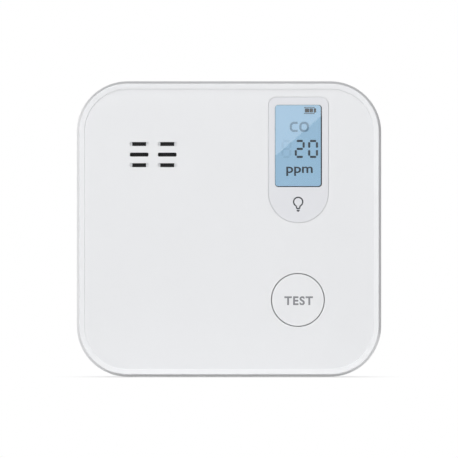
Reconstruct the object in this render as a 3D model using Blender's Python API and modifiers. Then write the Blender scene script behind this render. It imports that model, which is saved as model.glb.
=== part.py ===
"""Carbon monoxide alarm that hangs on a wall bracket and runs on two AA cells.

Frame: metres, +Z up, the front faces -Y, and +X is to the right seen from the front. The origin is
the centre of the wall bracket's back face. Pieces of the alarm are drawn about the housing's centre,
which lies CENTRE_Z above the origin; "up" in a comment is a height above that centre.
"""

import math

import bmesh
import bpy
from mathutils import Matrix, Vector

MM = 0.001
PIECES = "carbon_monoxide_detector"
CUTTERS = "cutters"

# Housing: overall form and the planes that everything else is stacked between; its width and height
# are those at the parting line, and the front cover draws in by DRAFT on each side towards the rim
WIDTH = 101.2 * MM
HEIGHT = 98.2 * MM
CORNER = 16.9 * MM
DRAFT = 0.95 * MM
CENTRE_Z = -26 * MM
BACK = -0.4 * MM
SPLIT = -8 * MM
FRONT = -36 * MM
WALL = 2.2 * MM
GAP = 0.3 * MM
OVERLAP = 0.4 * MM
CLEAR = 2 * MM
HOUSING = (0, 0, CENTRE_Z)
CORNER_STEPS = 9
FINE_STEPS = 16
ROUND_STEPS = 32

# Front: the raised rim band and the face that lies a little behind its crest
RIM_BAND = 1.6 * MM
RIM_ROUND = 0.8 * MM
RIM_INNER_ROUND = 0.3 * MM
FACE_DROP = 0.45 * MM
COVE_DROP = 0.25 * MM
COVE_WIDTH = 3 * MM
FACE = FRONT + FACE_DROP
FACE_BACK = -33.5 * MM

# Display panel, a tongue with square shoulders and a half-round foot
PANEL_X = 23 * MM
PANEL_WIDTH = 19.9 * MM
PANEL_TOP = 43.7 * MM
PANEL_FOOT = 2.1 * MM
PANEL_SHOULDER = 2.7 * MM
PANEL_THICK = 1.2 * MM
PANEL_SEAM = 0.25 * MM
PANEL_SEAT = FACE + PANEL_THICK + GAP
PAD_BACK = -32.4 * MM
WINDOW_WIDTH = 15.7 * MM
WINDOW_HEIGHT = 27.2 * MM
WINDOW_UP = 27.5 * MM
WINDOW_CORNER = 1.1 * MM
WINDOW_BEVEL = 0.4 * MM
LENS_LAP = 1 * MM
LENS_THICK = 1 * MM
GLASS_FRONT = PAD_BACK + GAP
GLASS_THICK = 1.7 * MM
GLASS_WIDTH = 17.6 * MM
GLASS_LOW = 12.6 * MM
GLASS_HIGH = 44.5 * MM
LEDGE = 2.3 * MM
LIGHT_THICK = 2.5 * MM
INDICATOR_UP = 8.3 * MM
PIPE_R = 1.6 * MM

# Sounder behind the vent: three rows of slots cross two upright ports, which are wider at the middle row
SOUNDER_X = -25.1 * MM
SOUNDER_UP = 24.55 * MM
SOUNDER_R = 15 * MM
PORT_XS = (SOUNDER_X - 4.65 * MM, SOUNDER_X + 4.65 * MM)
PORT_HALF_WIDTH = 2.3 * MM
PORT_HALF_HEIGHT = 4.4 * MM
SLOT_UPS = (SOUNDER_UP + 3.5 * MM, SOUNDER_UP, SOUNDER_UP - 3.5 * MM)
SLOT_WIDTH = 6.3 * MM
SLOT_HEIGHT = 1.35 * MM
SLOT_DEPTH = 1.1 * MM

# Test button
BUTTON_X = 22.8 * MM
BUTTON_UP = -23.5 * MM
BUTTON_R = 8.6 * MM
BUTTON_FLANGE_R = 9.9 * MM
COLLAR_R = 10.5 * MM
COLLAR_END = -29 * MM
SWITCH_FRONT = -27.4 * MM

# Circuit board
BOARD_FRONT = -23.1 * MM
BOARD_BACK = -21.5 * MM
BOARD_HALF_WIDTH = 44 * MM
BOARD_LOW = -42 * MM
BOARD_HIGH = 45.5 * MM
POST_PLACES = ((-38 * MM, 0), (38 * MM, 0), (1 * MM, 38 * MM))
POST_R = 3 * MM
BOARD_TOP = BOARD_FRONT - GAP

# Case screws
SCREW_X = 39.5 * MM
SCREW_UP = 38 * MM
BOSS_R = 3.5 * MM
SCREW_SEAT = -5 * MM

# Wall bracket and the recess that takes it, with room below to slide
BRACKET_HALF_WIDTH = 32 * MM
BRACKET_HALF_HEIGHT = 18 * MM
BRACKET_PLATE = 2 * MM
BRACKET_DEPTH = 5.3 * MM
RECESS_FLOOR = -5.6 * MM
FLOOR_THICK = 1.8 * MM
SLIDE_TRAVEL = 8 * MM
RECESS_GAP = 0.6 * MM
HOOK_X = 10 * MM
HOOK_BASES = (-13 * MM, 3 * MM)
HOOK_WIDTH = 6 * MM
HOOK_NECK = 3 * MM
HOOK_LIP = 7 * MM
HOOK_THICK = 1.8 * MM
WALL_SCREW_X = 23 * MM

# Battery compartment: two AA cells lie side by side, and a door on stub pins closes it
CELL_R = 7.1 * MM
CELL_LENGTH = 50.5 * MM
CELL_Y = -10.3 * MM
CELL_UPS = (-15.8 * MM, -31.2 * MM)
CHANNEL_R = 7.5 * MM
BAY_UP = sum(CELL_UPS) / 2
BAY_HALF_WIDTH = 29.2 * MM
BAY_HALF_HEIGHT = 15.3 * MM
BAY_FRONT = -19.6 * MM
CONTACT_X = 28.4 * MM
CONTACT_THICK = 0.5 * MM
HINGE_Y = -2.6 * MM
HINGE_UP = -5.5 * MM
BARREL_R = 2.2 * MM
BARREL_HALF = 27 * MM
PIN_R = 1.2 * MM
PIN_REACH = 30.4 * MM
DOOR_HALF_WIDTH = 31 * MM
DOOR_THICK = 1.8 * MM
DOOR_LOW = -42.1 * MM
DOOR_SEAT = -2.5 * MM

LOOKS = {
    "white": ((0.80, 0.81, 0.83), 0.38, 0.0),
    "panel": ((0.72, 0.73, 0.75), 0.34, 0.0),
    "clear": ((0.90, 0.94, 0.96), 0.04, 0.0),
    "display": ((0.38, 0.55, 0.71), 0.15, 0.0),
    "diffuser": ((0.86, 0.90, 0.92), 0.55, 0.0),
    "black": ((0.02, 0.02, 0.022), 0.55, 0.0),
    "zebra": ((0.10, 0.08, 0.12), 0.7, 0.0),
    "board": ((0.02, 0.16, 0.07), 0.35, 0.0),
    "steel": ((0.62, 0.62, 0.62), 0.28, 1.0),
    "nickel": ((0.70, 0.67, 0.60), 0.25, 1.0),
    "brass": ((0.76, 0.57, 0.24), 0.3, 1.0),
    "ceramic": ((0.74, 0.72, 0.66), 0.5, 0.0),
    "copper": ((0.55, 0.24, 0.12), 0.35, 1.0),
    "foam": ((0.05, 0.05, 0.055), 0.9, 0.0),
    "cell": ((0.03, 0.09, 0.16), 0.3, 0.2),
    "sleeve": ((0.03, 0.05, 0.10), 0.35, 0.0),
    "green_led": ((0.15, 0.62, 0.20), 0.25, 0.0),
    "amber_led": ((0.85, 0.45, 0.05), 0.25, 0.0),
    "red_led": ((0.75, 0.06, 0.05), 0.25, 0.0),
}


# ---------------------------------------------------------------- tools


def clear_scene():
    for obj in list(bpy.data.objects):
        bpy.data.objects.remove(obj)
    for name in (PIECES, CUTTERS):
        bpy.context.scene.collection.children.link(bpy.data.collections.new(name))


def material(name, look):
    """A Principled material of the piece's own."""
    colour, roughness, metallic = LOOKS[look]
    made = bpy.data.materials.new(name)
    made.use_nodes = True
    shader = made.node_tree.nodes["Principled BSDF"]
    shader.inputs["Base Color"].default_value = (*colour, 1)
    shader.inputs["Roughness"].default_value = roughness
    shader.inputs["Metallic"].default_value = metallic
    return made


def mesh_from(name, bm):
    """The bmesh as a mesh with its faces out and its round stretches smooth."""
    bmesh.ops.recalc_face_normals(bm, faces=bm.faces)
    mesh = bpy.data.meshes.new(name)
    bm.to_mesh(mesh)
    bm.free()
    mesh.shade_smooth()
    mesh.set_sharp_from_angle(angle=math.radians(30))
    return mesh


def piece(name, data, look, place=HOUSING, turn=(0, 0, 0)):
    """A sub-part of the alarm: an object with its own material."""
    obj = bpy.data.objects.new(name, data)
    obj.location = place
    obj.rotation_euler = turn
    if not data.materials:
        data.materials.append(material(name, look))
    bpy.data.collections[PIECES].objects.link(obj)
    return obj


def shape(name, bm, look, place=HOUSING):
    return piece(name, mesh_from(name, bm), look, place)


def cutter(obj, purpose, bm, place=None):
    """A helper for Booleans on obj, left out of renders."""
    name = f"{obj.name}_{purpose}"
    made = bpy.data.objects.new(name, mesh_from(name, bm))
    made.location = obj.location if place is None else place
    made.hide_render = True
    made.display_type = "WIRE"
    bpy.data.collections[CUTTERS].objects.link(made)
    return made


def boolean(obj, operation, purpose, bm, place=None):
    modifier = obj.modifiers.new(purpose, "BOOLEAN")
    modifier.operation = operation
    modifier.solver = "EXACT"
    modifier.object = cutter(obj, purpose, bm, place)


def join(obj, purpose, bm):
    boolean(obj, "UNION", purpose, bm)


def cut(obj, purpose, bm, place=None):
    boolean(obj, "DIFFERENCE", purpose, bm, place)


def add_box(bm, low, high):
    """Adds a box between two corners and returns its edges."""
    low, high = Vector(low), Vector(high)
    frame = Matrix.Translation((low + high) / 2) @ Matrix.Diagonal((*(high - low), 1))
    verts = bmesh.ops.create_cube(bm, size=1, matrix=frame)["verts"]
    return list({edge for vert in verts for edge in vert.link_edges})


def running_along(edges, axis):
    """Those of the edges that run along axis 0, 1 or 2."""
    return [e for e in edges if abs((e.verts[0].co - e.verts[1].co).normalized()[axis]) > 0.9]


def round_edges(bm, edges, radius, segments):
    bmesh.ops.bevel(
        bm, geom=edges, offset=radius, segments=segments, profile=0.5, affect="EDGES", material=-1
    )


def add_rounded_box(bm, low, high, radius, segments=5, axis=1):
    """Adds a box whose four edges along one axis are rounded."""
    round_edges(bm, running_along(add_box(bm, low, high), axis), radius, segments)


def add_rod(bm, centre, radius, low, high, axis=1, segments=FINE_STEPS):
    """Adds a cylinder along an axis from low to high; centre holds its other two coordinates."""
    place = Vector(centre)
    place[axis] = (low + high) / 2
    turn = (Matrix.Rotation(math.pi / 2, 4, "Y"), Matrix.Rotation(math.pi / 2, 4, "X"), Matrix())[axis]
    bmesh.ops.create_cone(
        bm,
        cap_ends=True,
        segments=segments,
        radius1=radius,
        radius2=radius,
        depth=high - low,
        matrix=Matrix.Translation(place) @ turn,
    )


def boxes(*corners):
    """A bmesh of plain boxes, each given by its low and high corner."""
    bm = bmesh.new()
    for low, high in corners:
        add_box(bm, low, high)
    return bm


def rods(places, radius, low, high, segments=FINE_STEPS):
    """A bmesh of cylinders along Y at the given (x, up) places."""
    bm = bmesh.new()
    for x, up in places:
        add_rod(bm, (x, 0, up), radius, low, high, segments=segments)
    return bm


def end_face(bm, direction):
    """The large flat face that looks along a direction."""
    bm.normal_update()
    return max(bm.faces, key=lambda face: face.normal.dot(Vector(direction)) * face.calc_area())


def work_face(bm, face, section):
    """Steps a flat face in and out; section lists (distance in from its edge, height above it)."""
    inward = height = 0
    for distance, level in section:
        bmesh.ops.inset_region(
            bm,
            faces=[face],
            thickness=distance - inward,
            depth=level - height,
            use_even_offset=True,
            use_boundary=True,
        )
        inward, height = distance, level


def arc(radius, steps, start=0.0, sweep=math.pi / 2):
    """Sine and cosine of an arc's stations after the first, times the radius."""
    angles = [start + sweep * i / steps for i in range(1, steps + 1)]
    return [(radius * math.sin(a), radius * math.cos(a)) for a in angles]


def turned(name, profile, look, place, steps=32, turn=(math.pi / 2, 0, 0), ring=False):
    """Turns a profile of (radius, reach) points; reach grows towards the front, or along turn's +Z."""
    bm = bmesh.new()
    verts = [bm.verts.new((radius, 0, reach)) for radius, reach in profile]
    for first, second in zip(verts, verts[1:] + (verts[:1] if ring else [])):
        bm.edges.new((first, second))
    mesh = bpy.data.meshes.new(name)
    bm.to_mesh(mesh)
    bm.free()
    obj = piece(name, mesh, look, place, turn)
    screw = obj.modifiers.new("turn", "SCREW")
    screw.steps = screw.render_steps = steps
    screw.use_merge_vertices = True
    screw.merge_threshold = 0.00001
    return obj


def housing_point(x, up, y=0.0):
    """A point given about the housing's centre, in the part's frame."""
    return (x, y, CENTRE_Z + up)


def mirrored(*values):
    """Each value and its negative."""
    return [sign * value for value in values for sign in (-1, 1)]


def case_screw_places():
    return [(x, up) for x in mirrored(SCREW_X) for up in mirrored(SCREW_UP)]


# ---------------------------------------------------------------- housing


def housing_prism(y_low, y_high, inset):
    """The housing's outline, a set distance inside its outer wall, between two planes."""
    bm = bmesh.new()
    half_x = WIDTH / 2 - inset
    half_z = HEIGHT / 2 - inset
    add_rounded_box(bm, (-half_x, y_low, -half_z), (half_x, y_high, half_z), CORNER - inset, CORNER_STEPS)
    return bm


def rim_section():
    """The rim band: rounded outer edge, flat crest, rounded inner edge, then the cove to the face."""
    points = [(RIM_ROUND - c, s) for s, c in arc(RIM_ROUND, 3)]
    crest_end = RIM_BAND - RIM_INNER_ROUND
    points += [(crest_end, RIM_ROUND)]
    points += [(crest_end + s, RIM_ROUND - RIM_INNER_ROUND + c) for s, c in arc(RIM_INNER_ROUND, 2)]
    face = RIM_ROUND - FACE_DROP
    foot = RIM_BAND + 0.1 * MM
    points += [(foot, face - COVE_DROP)]
    stations = [i / 3 for i in range(1, 4)]
    points += [(foot + COVE_WIDTH * t, face - COVE_DROP * (1 - t) ** 2) for t in stations]
    return points


def add_tongue(bm, grow, y_low, y_high):
    """Adds the display panel's outline, grown all round, between two planes."""
    half = PANEL_WIDTH / 2 + grow
    low = (PANEL_X - half, y_low, PANEL_FOOT - grow)
    high = (PANEL_X + half, y_high, PANEL_TOP + grow)
    edges = running_along(add_box(bm, low, high), 1)
    middle = (low[2] + high[2]) / 2
    shoulders = [edge for edge in edges if edge.verts[0].co.z > middle]
    foot = [edge for edge in edges if edge not in shoulders]
    round_edges(bm, shoulders, PANEL_SHOULDER + grow, 6)
    round_edges(bm, foot, half - 0.01 * MM, 16)
    bmesh.ops.remove_doubles(bm, verts=bm.verts, dist=0.05 * MM)


def window_box(bm, lap, y_low, y_high, corner):
    """Adds a block behind the display opening, larger than it by lap on each side."""
    half_x = WINDOW_WIDTH / 2 + lap
    half_z = WINDOW_HEIGHT / 2 + lap
    low = (PANEL_X - half_x, y_low, WINDOW_UP - half_z)
    high = (PANEL_X + half_x, y_high, WINDOW_UP + half_z)
    add_rounded_box(bm, low, high, corner)


def vent_slots():
    """The six slots, which stop just short of the face's back."""
    bm = bmesh.new()
    for x in PORT_XS:
        for up in SLOT_UPS:
            low = (x - SLOT_WIDTH / 2, FACE - CLEAR, up - SLOT_HEIGHT / 2)
            high = (x + SLOT_WIDTH / 2, FACE + SLOT_DEPTH, up + SLOT_HEIGHT / 2)
            add_rounded_box(bm, low, high, 0.45 * MM, 2)
    return bm


def rib_reach(size, across, boss):
    """How far out a rib meets the rounded corner's wall, level with a screw boss."""
    off = boss - (across / 2 - CORNER)
    return size / 2 - CORNER + math.sqrt((CORNER - WALL) ** 2 - off**2) + OVERLAP


def boss_ribs():
    """Two thin ribs tie each screw boss to the walls beside it."""
    half = 0.6 * MM
    root = FACE_BACK - OVERLAP
    top = SPLIT - 3.5 * MM
    reach_x = rib_reach(WIDTH, HEIGHT, SCREW_UP)
    reach_up = rib_reach(HEIGHT, WIDTH, SCREW_X)
    bm = bmesh.new()
    for x, up in case_screw_places():
        side = math.copysign(1, x)
        level = math.copysign(1, up)
        ends = sorted((side * (SCREW_X + BOSS_R - OVERLAP), side * reach_x))
        add_box(bm, (ends[0], root, up - half), (ends[1], top, up + half))
        ends = sorted((level * (SCREW_UP + BOSS_R - OVERLAP), level * reach_up))
        add_box(bm, (x - half, root, ends[0]), (x + half, top, ends[1]))
    return bm


def sound_ports(half_width, half_height):
    """A port behind each column of slots, cut from the back until it meets them."""
    low = FACE + SLOT_DEPTH - 0.15 * MM
    high = FACE_BACK + CLEAR
    bm = bmesh.new()
    for x in PORT_XS:
        corner = (x - half_width, low, SOUNDER_UP - half_height)
        add_box(bm, corner, (x + half_width, high, SOUNDER_UP + half_height))
    return bm


def front_cavity():
    """The hollow behind the face: its walls are upright round the rear cover's lip, then draw in too."""
    drawn_start = SPLIT - 3.3 * MM
    bm = housing_prism(drawn_start, SPLIT + CLEAR, WALL)
    work_face(bm, end_face(bm, (0, -1, 0)), [(DRAFT, drawn_start - FACE_BACK)])
    return bm


def front_cover():
    wall_start = SPLIT - 1.5 * MM
    wall_height = wall_start - (FRONT + RIM_ROUND)
    bm = housing_prism(wall_start, SPLIT - GAP, 0)
    section = [(DRAFT, wall_height)]
    section += [(DRAFT + distance, wall_height + level) for distance, level in rim_section()]
    work_face(bm, end_face(bm, (0, -1, 0)), section)
    cover = shape("front_cover", bm, "white")
    cut(cover, "cavity", front_cavity())
    root = FACE_BACK - OVERLAP
    join(cover, "case_bosses", rods(case_screw_places(), BOSS_R, root, SPLIT - GAP))
    join(cover, "boss_ribs", boss_ribs())
    join(cover, "board_posts", rods(POST_PLACES, POST_R, root, BOARD_TOP))
    join(cover, "button_collar", rods([(BUTTON_X, BUTTON_UP)], COLLAR_R, root, COLLAR_END, ROUND_STEPS))
    pad = ((11.4 * MM, root, 0.6 * MM), (34.6 * MM, PAD_BACK, HEIGHT / 2 - WALL))
    join(cover, "panel_pad", boxes(pad))
    pocket = bmesh.new()
    add_tongue(pocket, PANEL_SEAM, FACE - CLEAR, PANEL_SEAT)
    cut(cover, "panel_pocket", pocket)
    openings = rods([(BUTTON_X, BUTTON_UP)], BUTTON_R + GAP, FRONT - CLEAR, COLLAR_END + CLEAR, ROUND_STEPS)
    window_box(openings, LENS_LAP + GAP, PANEL_SEAT - OVERLAP, PAD_BACK + CLEAR, 1.5 * MM)
    add_rod(openings, (PANEL_X, 0, INDICATOR_UP), PIPE_R + GAP, PANEL_SEAT - OVERLAP, PAD_BACK + CLEAR)
    cut(cover, "openings", openings)
    cut(cover, "vent_slots", vent_slots())
    cut(cover, "sound_ports", sound_ports(PORT_HALF_WIDTH, PORT_HALF_HEIGHT))
    cut(cover, "middle_ports", sound_ports(SLOT_WIDTH / 2 + 0.2 * MM, SLOT_HEIGHT / 2 + 0.2 * MM))
    cut(cover, "case_pilots", rods(case_screw_places(), 1.6 * MM, -20 * MM, SPLIT + CLEAR, 12))
    cut(cover, "post_pilots", rods(POST_PLACES, 1.5 * MM, -31 * MM, BOARD_TOP + CLEAR, 12))


def rear_blocks():
    """Blocks on the rear cover that the recess, the bay, the door seat and the hinge are cut into."""
    root = BACK - 1.6 * MM
    floor = RECESS_FLOOR - FLOOR_THICK
    recess = ((-34.4 * MM, floor, -2.4 * MM), (34.4 * MM, root, 46 * MM))
    bay = ((-31 * MM, BAY_FRONT, BAY_UP - 17.1 * MM), (31 * MM, root, BAY_UP + 17.1 * MM))
    seat = ((-33.5 * MM, -4.3 * MM, -44.4 * MM), (33.5 * MM, root, -1.6 * MM))
    hinge = ((-33 * MM, -6.9 * MM, -9.2 * MM), (33 * MM, root, -1.2 * MM))
    return {"recess_block": recess, "bay_block": bay, "seat_block": seat, "hinge_block": hinge}


def cell_channels():
    bm = bmesh.new()
    for up in CELL_UPS:
        add_rod(bm, (0, CELL_Y, up), CHANNEL_R, -BAY_HALF_WIDTH, BAY_HALF_WIDTH, axis=0, segments=32)
    return bm


def hook_slots():
    """Each slot passes a bracket hook at the end of its slide and lets it run up under the floor."""
    half = HOOK_WIDTH / 2 + GAP
    bm = bmesh.new()
    for x in mirrored(HOOK_X):
        for base in HOOK_BASES:
            low = (x - half, RECESS_FLOOR - FLOOR_THICK - CLEAR, base - SLIDE_TRAVEL - GAP)
            high = (x + half, RECESS_FLOOR + CLEAR, base + HOOK_NECK + GAP)
            add_box(bm, low, high)
    return bm


def pin_sockets(cover):
    """Sockets for the door's stub pins, with a narrower mouth that the pins snap through."""
    sockets = bmesh.new()
    mouths = bmesh.new()
    inner = BARREL_HALF - CLEAR
    outer = PIN_REACH + GAP
    for side in (-1, 1):
        ends = sorted((side * inner, side * outer))
        add_rod(sockets, (0, HINGE_Y, HINGE_UP), PIN_R + 0.15 * MM, *ends, axis=0)
        half = PIN_R - 0.15 * MM
        add_box(mouths, (ends[0], HINGE_Y, HINGE_UP - half), (ends[1], CLEAR, HINGE_UP + half))
    cut(cover, "pin_sockets", sockets)
    cut(cover, "pin_mouths", mouths)


def rear_cover():
    edge_round = 1.5 * MM
    bm = housing_prism(SPLIT, BACK - edge_round, 0)
    rounded = [(edge_round - c, s) for s, c in arc(edge_round, 3)]
    work_face(bm, end_face(bm, (0, 1, 0)), rounded)
    cover = shape("rear_cover", bm, "white")
    lip_inset = WALL + GAP
    join(cover, "lip", housing_prism(SPLIT - 3 * MM, SPLIT + 4 * MM, lip_inset))
    cut(cover, "cavity", housing_prism(SPLIT - 5 * MM, BACK - 2 * MM, lip_inset + 1.5 * MM))
    for purpose, block in rear_blocks().items():
        join(cover, purpose, boxes(block))
    join(cover, "case_bosses", rods(case_screw_places(), 4.8 * MM, SPLIT, BACK - 1.6 * MM))
    recess = bmesh.new()
    half = BRACKET_HALF_WIDTH + RECESS_GAP
    top = BRACKET_HALF_HEIGHT + RECESS_GAP - CENTRE_Z
    bottom = -BRACKET_HALF_HEIGHT - SLIDE_TRAVEL - RECESS_GAP - CENTRE_Z
    add_rounded_box(recess, (-half, RECESS_FLOOR, bottom), (half, CLEAR, top), 3.6 * MM)
    cut(cover, "bracket_recess", recess)
    seat_half = DOOR_HALF_WIDTH + GAP
    seat = ((-seat_half, DOOR_SEAT, DOOR_LOW - GAP), (seat_half, CLEAR, HINGE_UP - 2.5 * MM))
    cut(cover, "door_seat", boxes(seat))
    trough_half = BARREL_HALF + GAP
    trough = (
        (-trough_half, HINGE_Y - BARREL_R - GAP, HINGE_UP - 3.4 * MM),
        (trough_half, CLEAR, HINGE_UP + BARREL_R + GAP),
    )
    cut(cover, "hinge_trough", boxes(trough))
    bay = (
        (-BAY_HALF_WIDTH, CELL_Y + GAP, BAY_UP - BAY_HALF_HEIGHT),
        (BAY_HALF_WIDTH, CLEAR, BAY_UP + BAY_HALF_HEIGHT),
    )
    cut(cover, "battery_bay", boxes(bay))
    cut(cover, "cell_channels", cell_channels())
    pin_sockets(cover)
    cut(cover, "counterbores", rods(case_screw_places(), 3.3 * MM, SCREW_SEAT, CLEAR))
    cut(cover, "screw_holes", rods(case_screw_places(), 1.9 * MM, SPLIT - CLEAR, SCREW_SEAT + CLEAR))
    cut(cover, "hook_slots", hook_slots(), (0, 0, 0))
    cut(cover, "latch_slot", boxes(((-5.3 * MM, -6 * MM, -41.8 * MM), (5.3 * MM, -1.5 * MM, -39.2 * MM))))
    half = 1.9 * MM
    tabs = [((-29.1 * MM, -21 * MM, up - half), (-27.9 * MM, -15 * MM, up + half)) for up in CELL_UPS]
    cut(cover, "terminal_slots", boxes(*tabs))
    cut(cover, "finger_scoop", rods([(0, DOOR_LOW)], 5 * MM, BACK - 1.4 * MM, CLEAR))


def wall_bracket():
    """A tray that is screwed to the wall, with four hooks for the alarm; drawn about the origin."""
    half_x, half_z = BRACKET_HALF_WIDTH, BRACKET_HALF_HEIGHT
    bm = bmesh.new()
    add_rounded_box(bm, (-half_x, -BRACKET_DEPTH, -half_z), (half_x, 0, half_z), 3 * MM)
    bracket = shape("wall_bracket", bm, "white", (0, 0, 0))
    rim = 1.6 * MM
    hollow = bmesh.new()
    low = (rim - half_x, -BRACKET_DEPTH - CLEAR, rim - half_z)
    high = (half_x - rim, -BRACKET_PLATE, half_z - rim)
    add_rounded_box(hollow, low, high, 1.4 * MM)
    cut(bracket, "hollow", hollow)
    rib_half = 0.6 * MM
    rib_end = half_z - OVERLAP
    ribs = [
        ((x - rib_half, -4 * MM, -rib_end), (x + rib_half, OVERLAP - BRACKET_PLATE, rib_end))
        for x in mirrored(16 * MM)
    ]
    join(bracket, "ribs", boxes(*ribs))
    lip_front = RECESS_FLOOR - FLOOR_THICK - GAP - HOOK_THICK
    necks, lips = [], []
    for x in mirrored(HOOK_X):
        for base in HOOK_BASES:
            left, right = x - HOOK_WIDTH / 2, x + HOOK_WIDTH / 2
            necks.append(((left, lip_front, base), (right, OVERLAP - BRACKET_PLATE, base + HOOK_NECK)))
            top = base + HOOK_NECK + HOOK_LIP
            lips.append(((left, lip_front, base + HOOK_THICK), (right, lip_front + HOOK_THICK, top)))
    join(bracket, "hook_necks", boxes(*necks))
    join(bracket, "hook_lips", boxes(*lips))
    slots = bmesh.new()
    for x in mirrored(WALL_SCREW_X):
        low = (x - 4.5 * MM, -BRACKET_PLATE - CLEAR, -2.5 * MM)
        high = (x + 4.5 * MM, CLEAR, 2.5 * MM)
        add_rounded_box(slots, low, high, 2.4 * MM)
    cut(bracket, "screw_slots", slots)


def battery_door():
    """The door hangs from a barrel along its top edge; drawn about its hinge axis."""
    outer = BACK - HINGE_Y
    inner = outer - DOOR_THICK
    low = DOOR_LOW - HINGE_UP
    shoulder = -4 * MM
    bm = bmesh.new()
    half = DOOR_HALF_WIDTH
    add_rounded_box(bm, (-half, inner, low), (half, outer, shoulder), 0.7 * MM, 3)
    door = shape("battery_door", bm, "white", housing_point(0, HINGE_UP, HINGE_Y))
    neck = ((-BARREL_HALF, inner, shoulder - OVERLAP), (BARREL_HALF, outer - 0.01 * MM, 0))
    join(door, "neck", boxes(neck))
    barrel = bmesh.new()
    add_rod(barrel, (0, 0, 0), BARREL_R, -BARREL_HALF, BARREL_HALF, axis=0, segments=24)
    join(door, "barrel", barrel)
    pins = bmesh.new()
    for side in (-1, 1):
        ends = sorted((side * (BARREL_HALF - OVERLAP), side * PIN_REACH))
        add_rod(pins, (0, 0, 0), PIN_R, *ends, axis=0)
    join(door, "pins", pins)
    rib_half = 0.6 * MM
    rib_low, rib_high = low + 3.6 * MM, shoulder - 3 * MM
    ribs = [
        ((x - rib_half, inner - 0.5 * MM, rib_low), (x + rib_half, inner + OVERLAP, rib_high))
        for x in (-20 * MM, 0, 20 * MM)
    ]
    join(door, "ribs", boxes(*ribs))
    hook_low = low + 0.7 * MM
    hook = ((-4.6 * MM, -2.4 * MM, hook_low), (4.6 * MM, inner + OVERLAP, hook_low + 1.5 * MM))
    join(door, "latch_hook", boxes(hook))
    slit_half = 0.4 * MM
    slits = [
        ((x - slit_half, -CLEAR, low - CLEAR), (x + slit_half, outer + CLEAR, low + 8 * MM))
        for x in mirrored(6 * MM)
    ]
    cut(door, "latch_slits", boxes(*slits))


# ---------------------------------------------------------------- display and button


def display_bezel():
    edge = 0.15 * MM
    bm = bmesh.new()
    add_tongue(bm, 0, FACE + edge, FACE + PANEL_THICK)
    work_face(bm, end_face(bm, (0, -1, 0)), [(edge, edge)])
    bezel = shape("display_bezel", bm, "panel")
    opening = bmesh.new()
    window_box(opening, WINDOW_BEVEL, FACE - CLEAR, FACE, WINDOW_CORNER + WINDOW_BEVEL)
    tapered = [(WINDOW_BEVEL, WINDOW_BEVEL), (WINDOW_BEVEL, WINDOW_BEVEL + CLEAR)]
    work_face(opening, end_face(opening, (0, 1, 0)), tapered)
    cut(bezel, "display_opening", opening)


def display_stack():
    """Lens, glass, backlight, holder and the strip that connects the glass to the board."""
    lens = bmesh.new()
    window_box(lens, LENS_LAP, PANEL_SEAT, PANEL_SEAT + LENS_THICK, 1.2 * MM)
    shape("display_window", lens, "clear")
    half = GLASS_WIDTH / 2
    glass_back = GLASS_FRONT + GLASS_THICK
    glass = ((PANEL_X - half, GLASS_FRONT, GLASS_LOW), (PANEL_X + half, glass_back, GLASS_HIGH))
    shape("lcd_panel", boxes(glass), "display")
    light_front = glass_back + GAP
    light_back = light_front + LIGHT_THICK
    light = ((PANEL_X - half, light_front, GLASS_LOW), (PANEL_X + half, light_back, GLASS_HIGH - LEDGE))
    shape("lcd_backlight", boxes(light), "diffuser")
    zebra = (
        (PANEL_X - 7 * MM, light_front, GLASS_HIGH - LEDGE + GAP),
        (PANEL_X + 7 * MM, BOARD_TOP, GLASS_HIGH - 0.2 * MM),
    )
    shape("zebra_connector", boxes(zebra), "zebra")
    lcd_holder(half, light_back)


def lcd_holder(half, light_back):
    rim = 1 * MM
    inner = half + GAP
    low, high = GLASS_LOW - GAP, GLASS_HIGH + GAP
    bm = bmesh.new()
    front = GLASS_FRONT + 0.2 * MM
    add_rounded_box(
        bm,
        (PANEL_X - inner - rim, front, low - rim),
        (PANEL_X + inner + rim, BOARD_TOP, high + rim),
        0.8 * MM,
        2,
    )
    holder = shape("lcd_holder", bm, "diffuser")
    upper = ((PANEL_X - inner, front - CLEAR, low), (PANEL_X + inner, light_back + GAP, high))
    cut(holder, "upper_well", boxes(upper))
    well_half = 7.5 * MM
    lower = (
        (PANEL_X - well_half, light_back - GAP, low + 3 * MM),
        (PANEL_X + well_half, BOARD_TOP + CLEAR, high),
    )
    cut(holder, "lower_well", boxes(lower))


def indicator():
    """The light pipe that ends behind the panel, and the three lamps at its foot."""
    foot_front = -26.6 * MM
    foot_back = -24.9 * MM
    bm = bmesh.new()
    add_rounded_box(
        bm,
        (PANEL_X - 3.8 * MM, foot_front, INDICATOR_UP - 2.2 * MM),
        (PANEL_X + 3.8 * MM, foot_back, INDICATOR_UP + 2.2 * MM),
        1 * MM,
        3,
    )
    pipe = shape("light_pipe", bm, "clear")
    join(pipe, "stem", rods([(PANEL_X, INDICATOR_UP)], PIPE_R, PANEL_SEAT, foot_front + OVERLAP))
    for step, colour in enumerate(("green", "amber", "red")):
        x = PANEL_X + (step - 1) * 2.4 * MM
        bm = bmesh.new()
        low = (x - 0.8 * MM, foot_back + 0.4 * MM, INDICATOR_UP - 0.6 * MM)
        high = (x + 0.8 * MM, BOARD_TOP, INDICATOR_UP + 0.6 * MM)
        add_rounded_box(bm, low, high, 0.2 * MM, 1)
        shape(f"status_led_{colour}", bm, f"{colour}_led")


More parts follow.
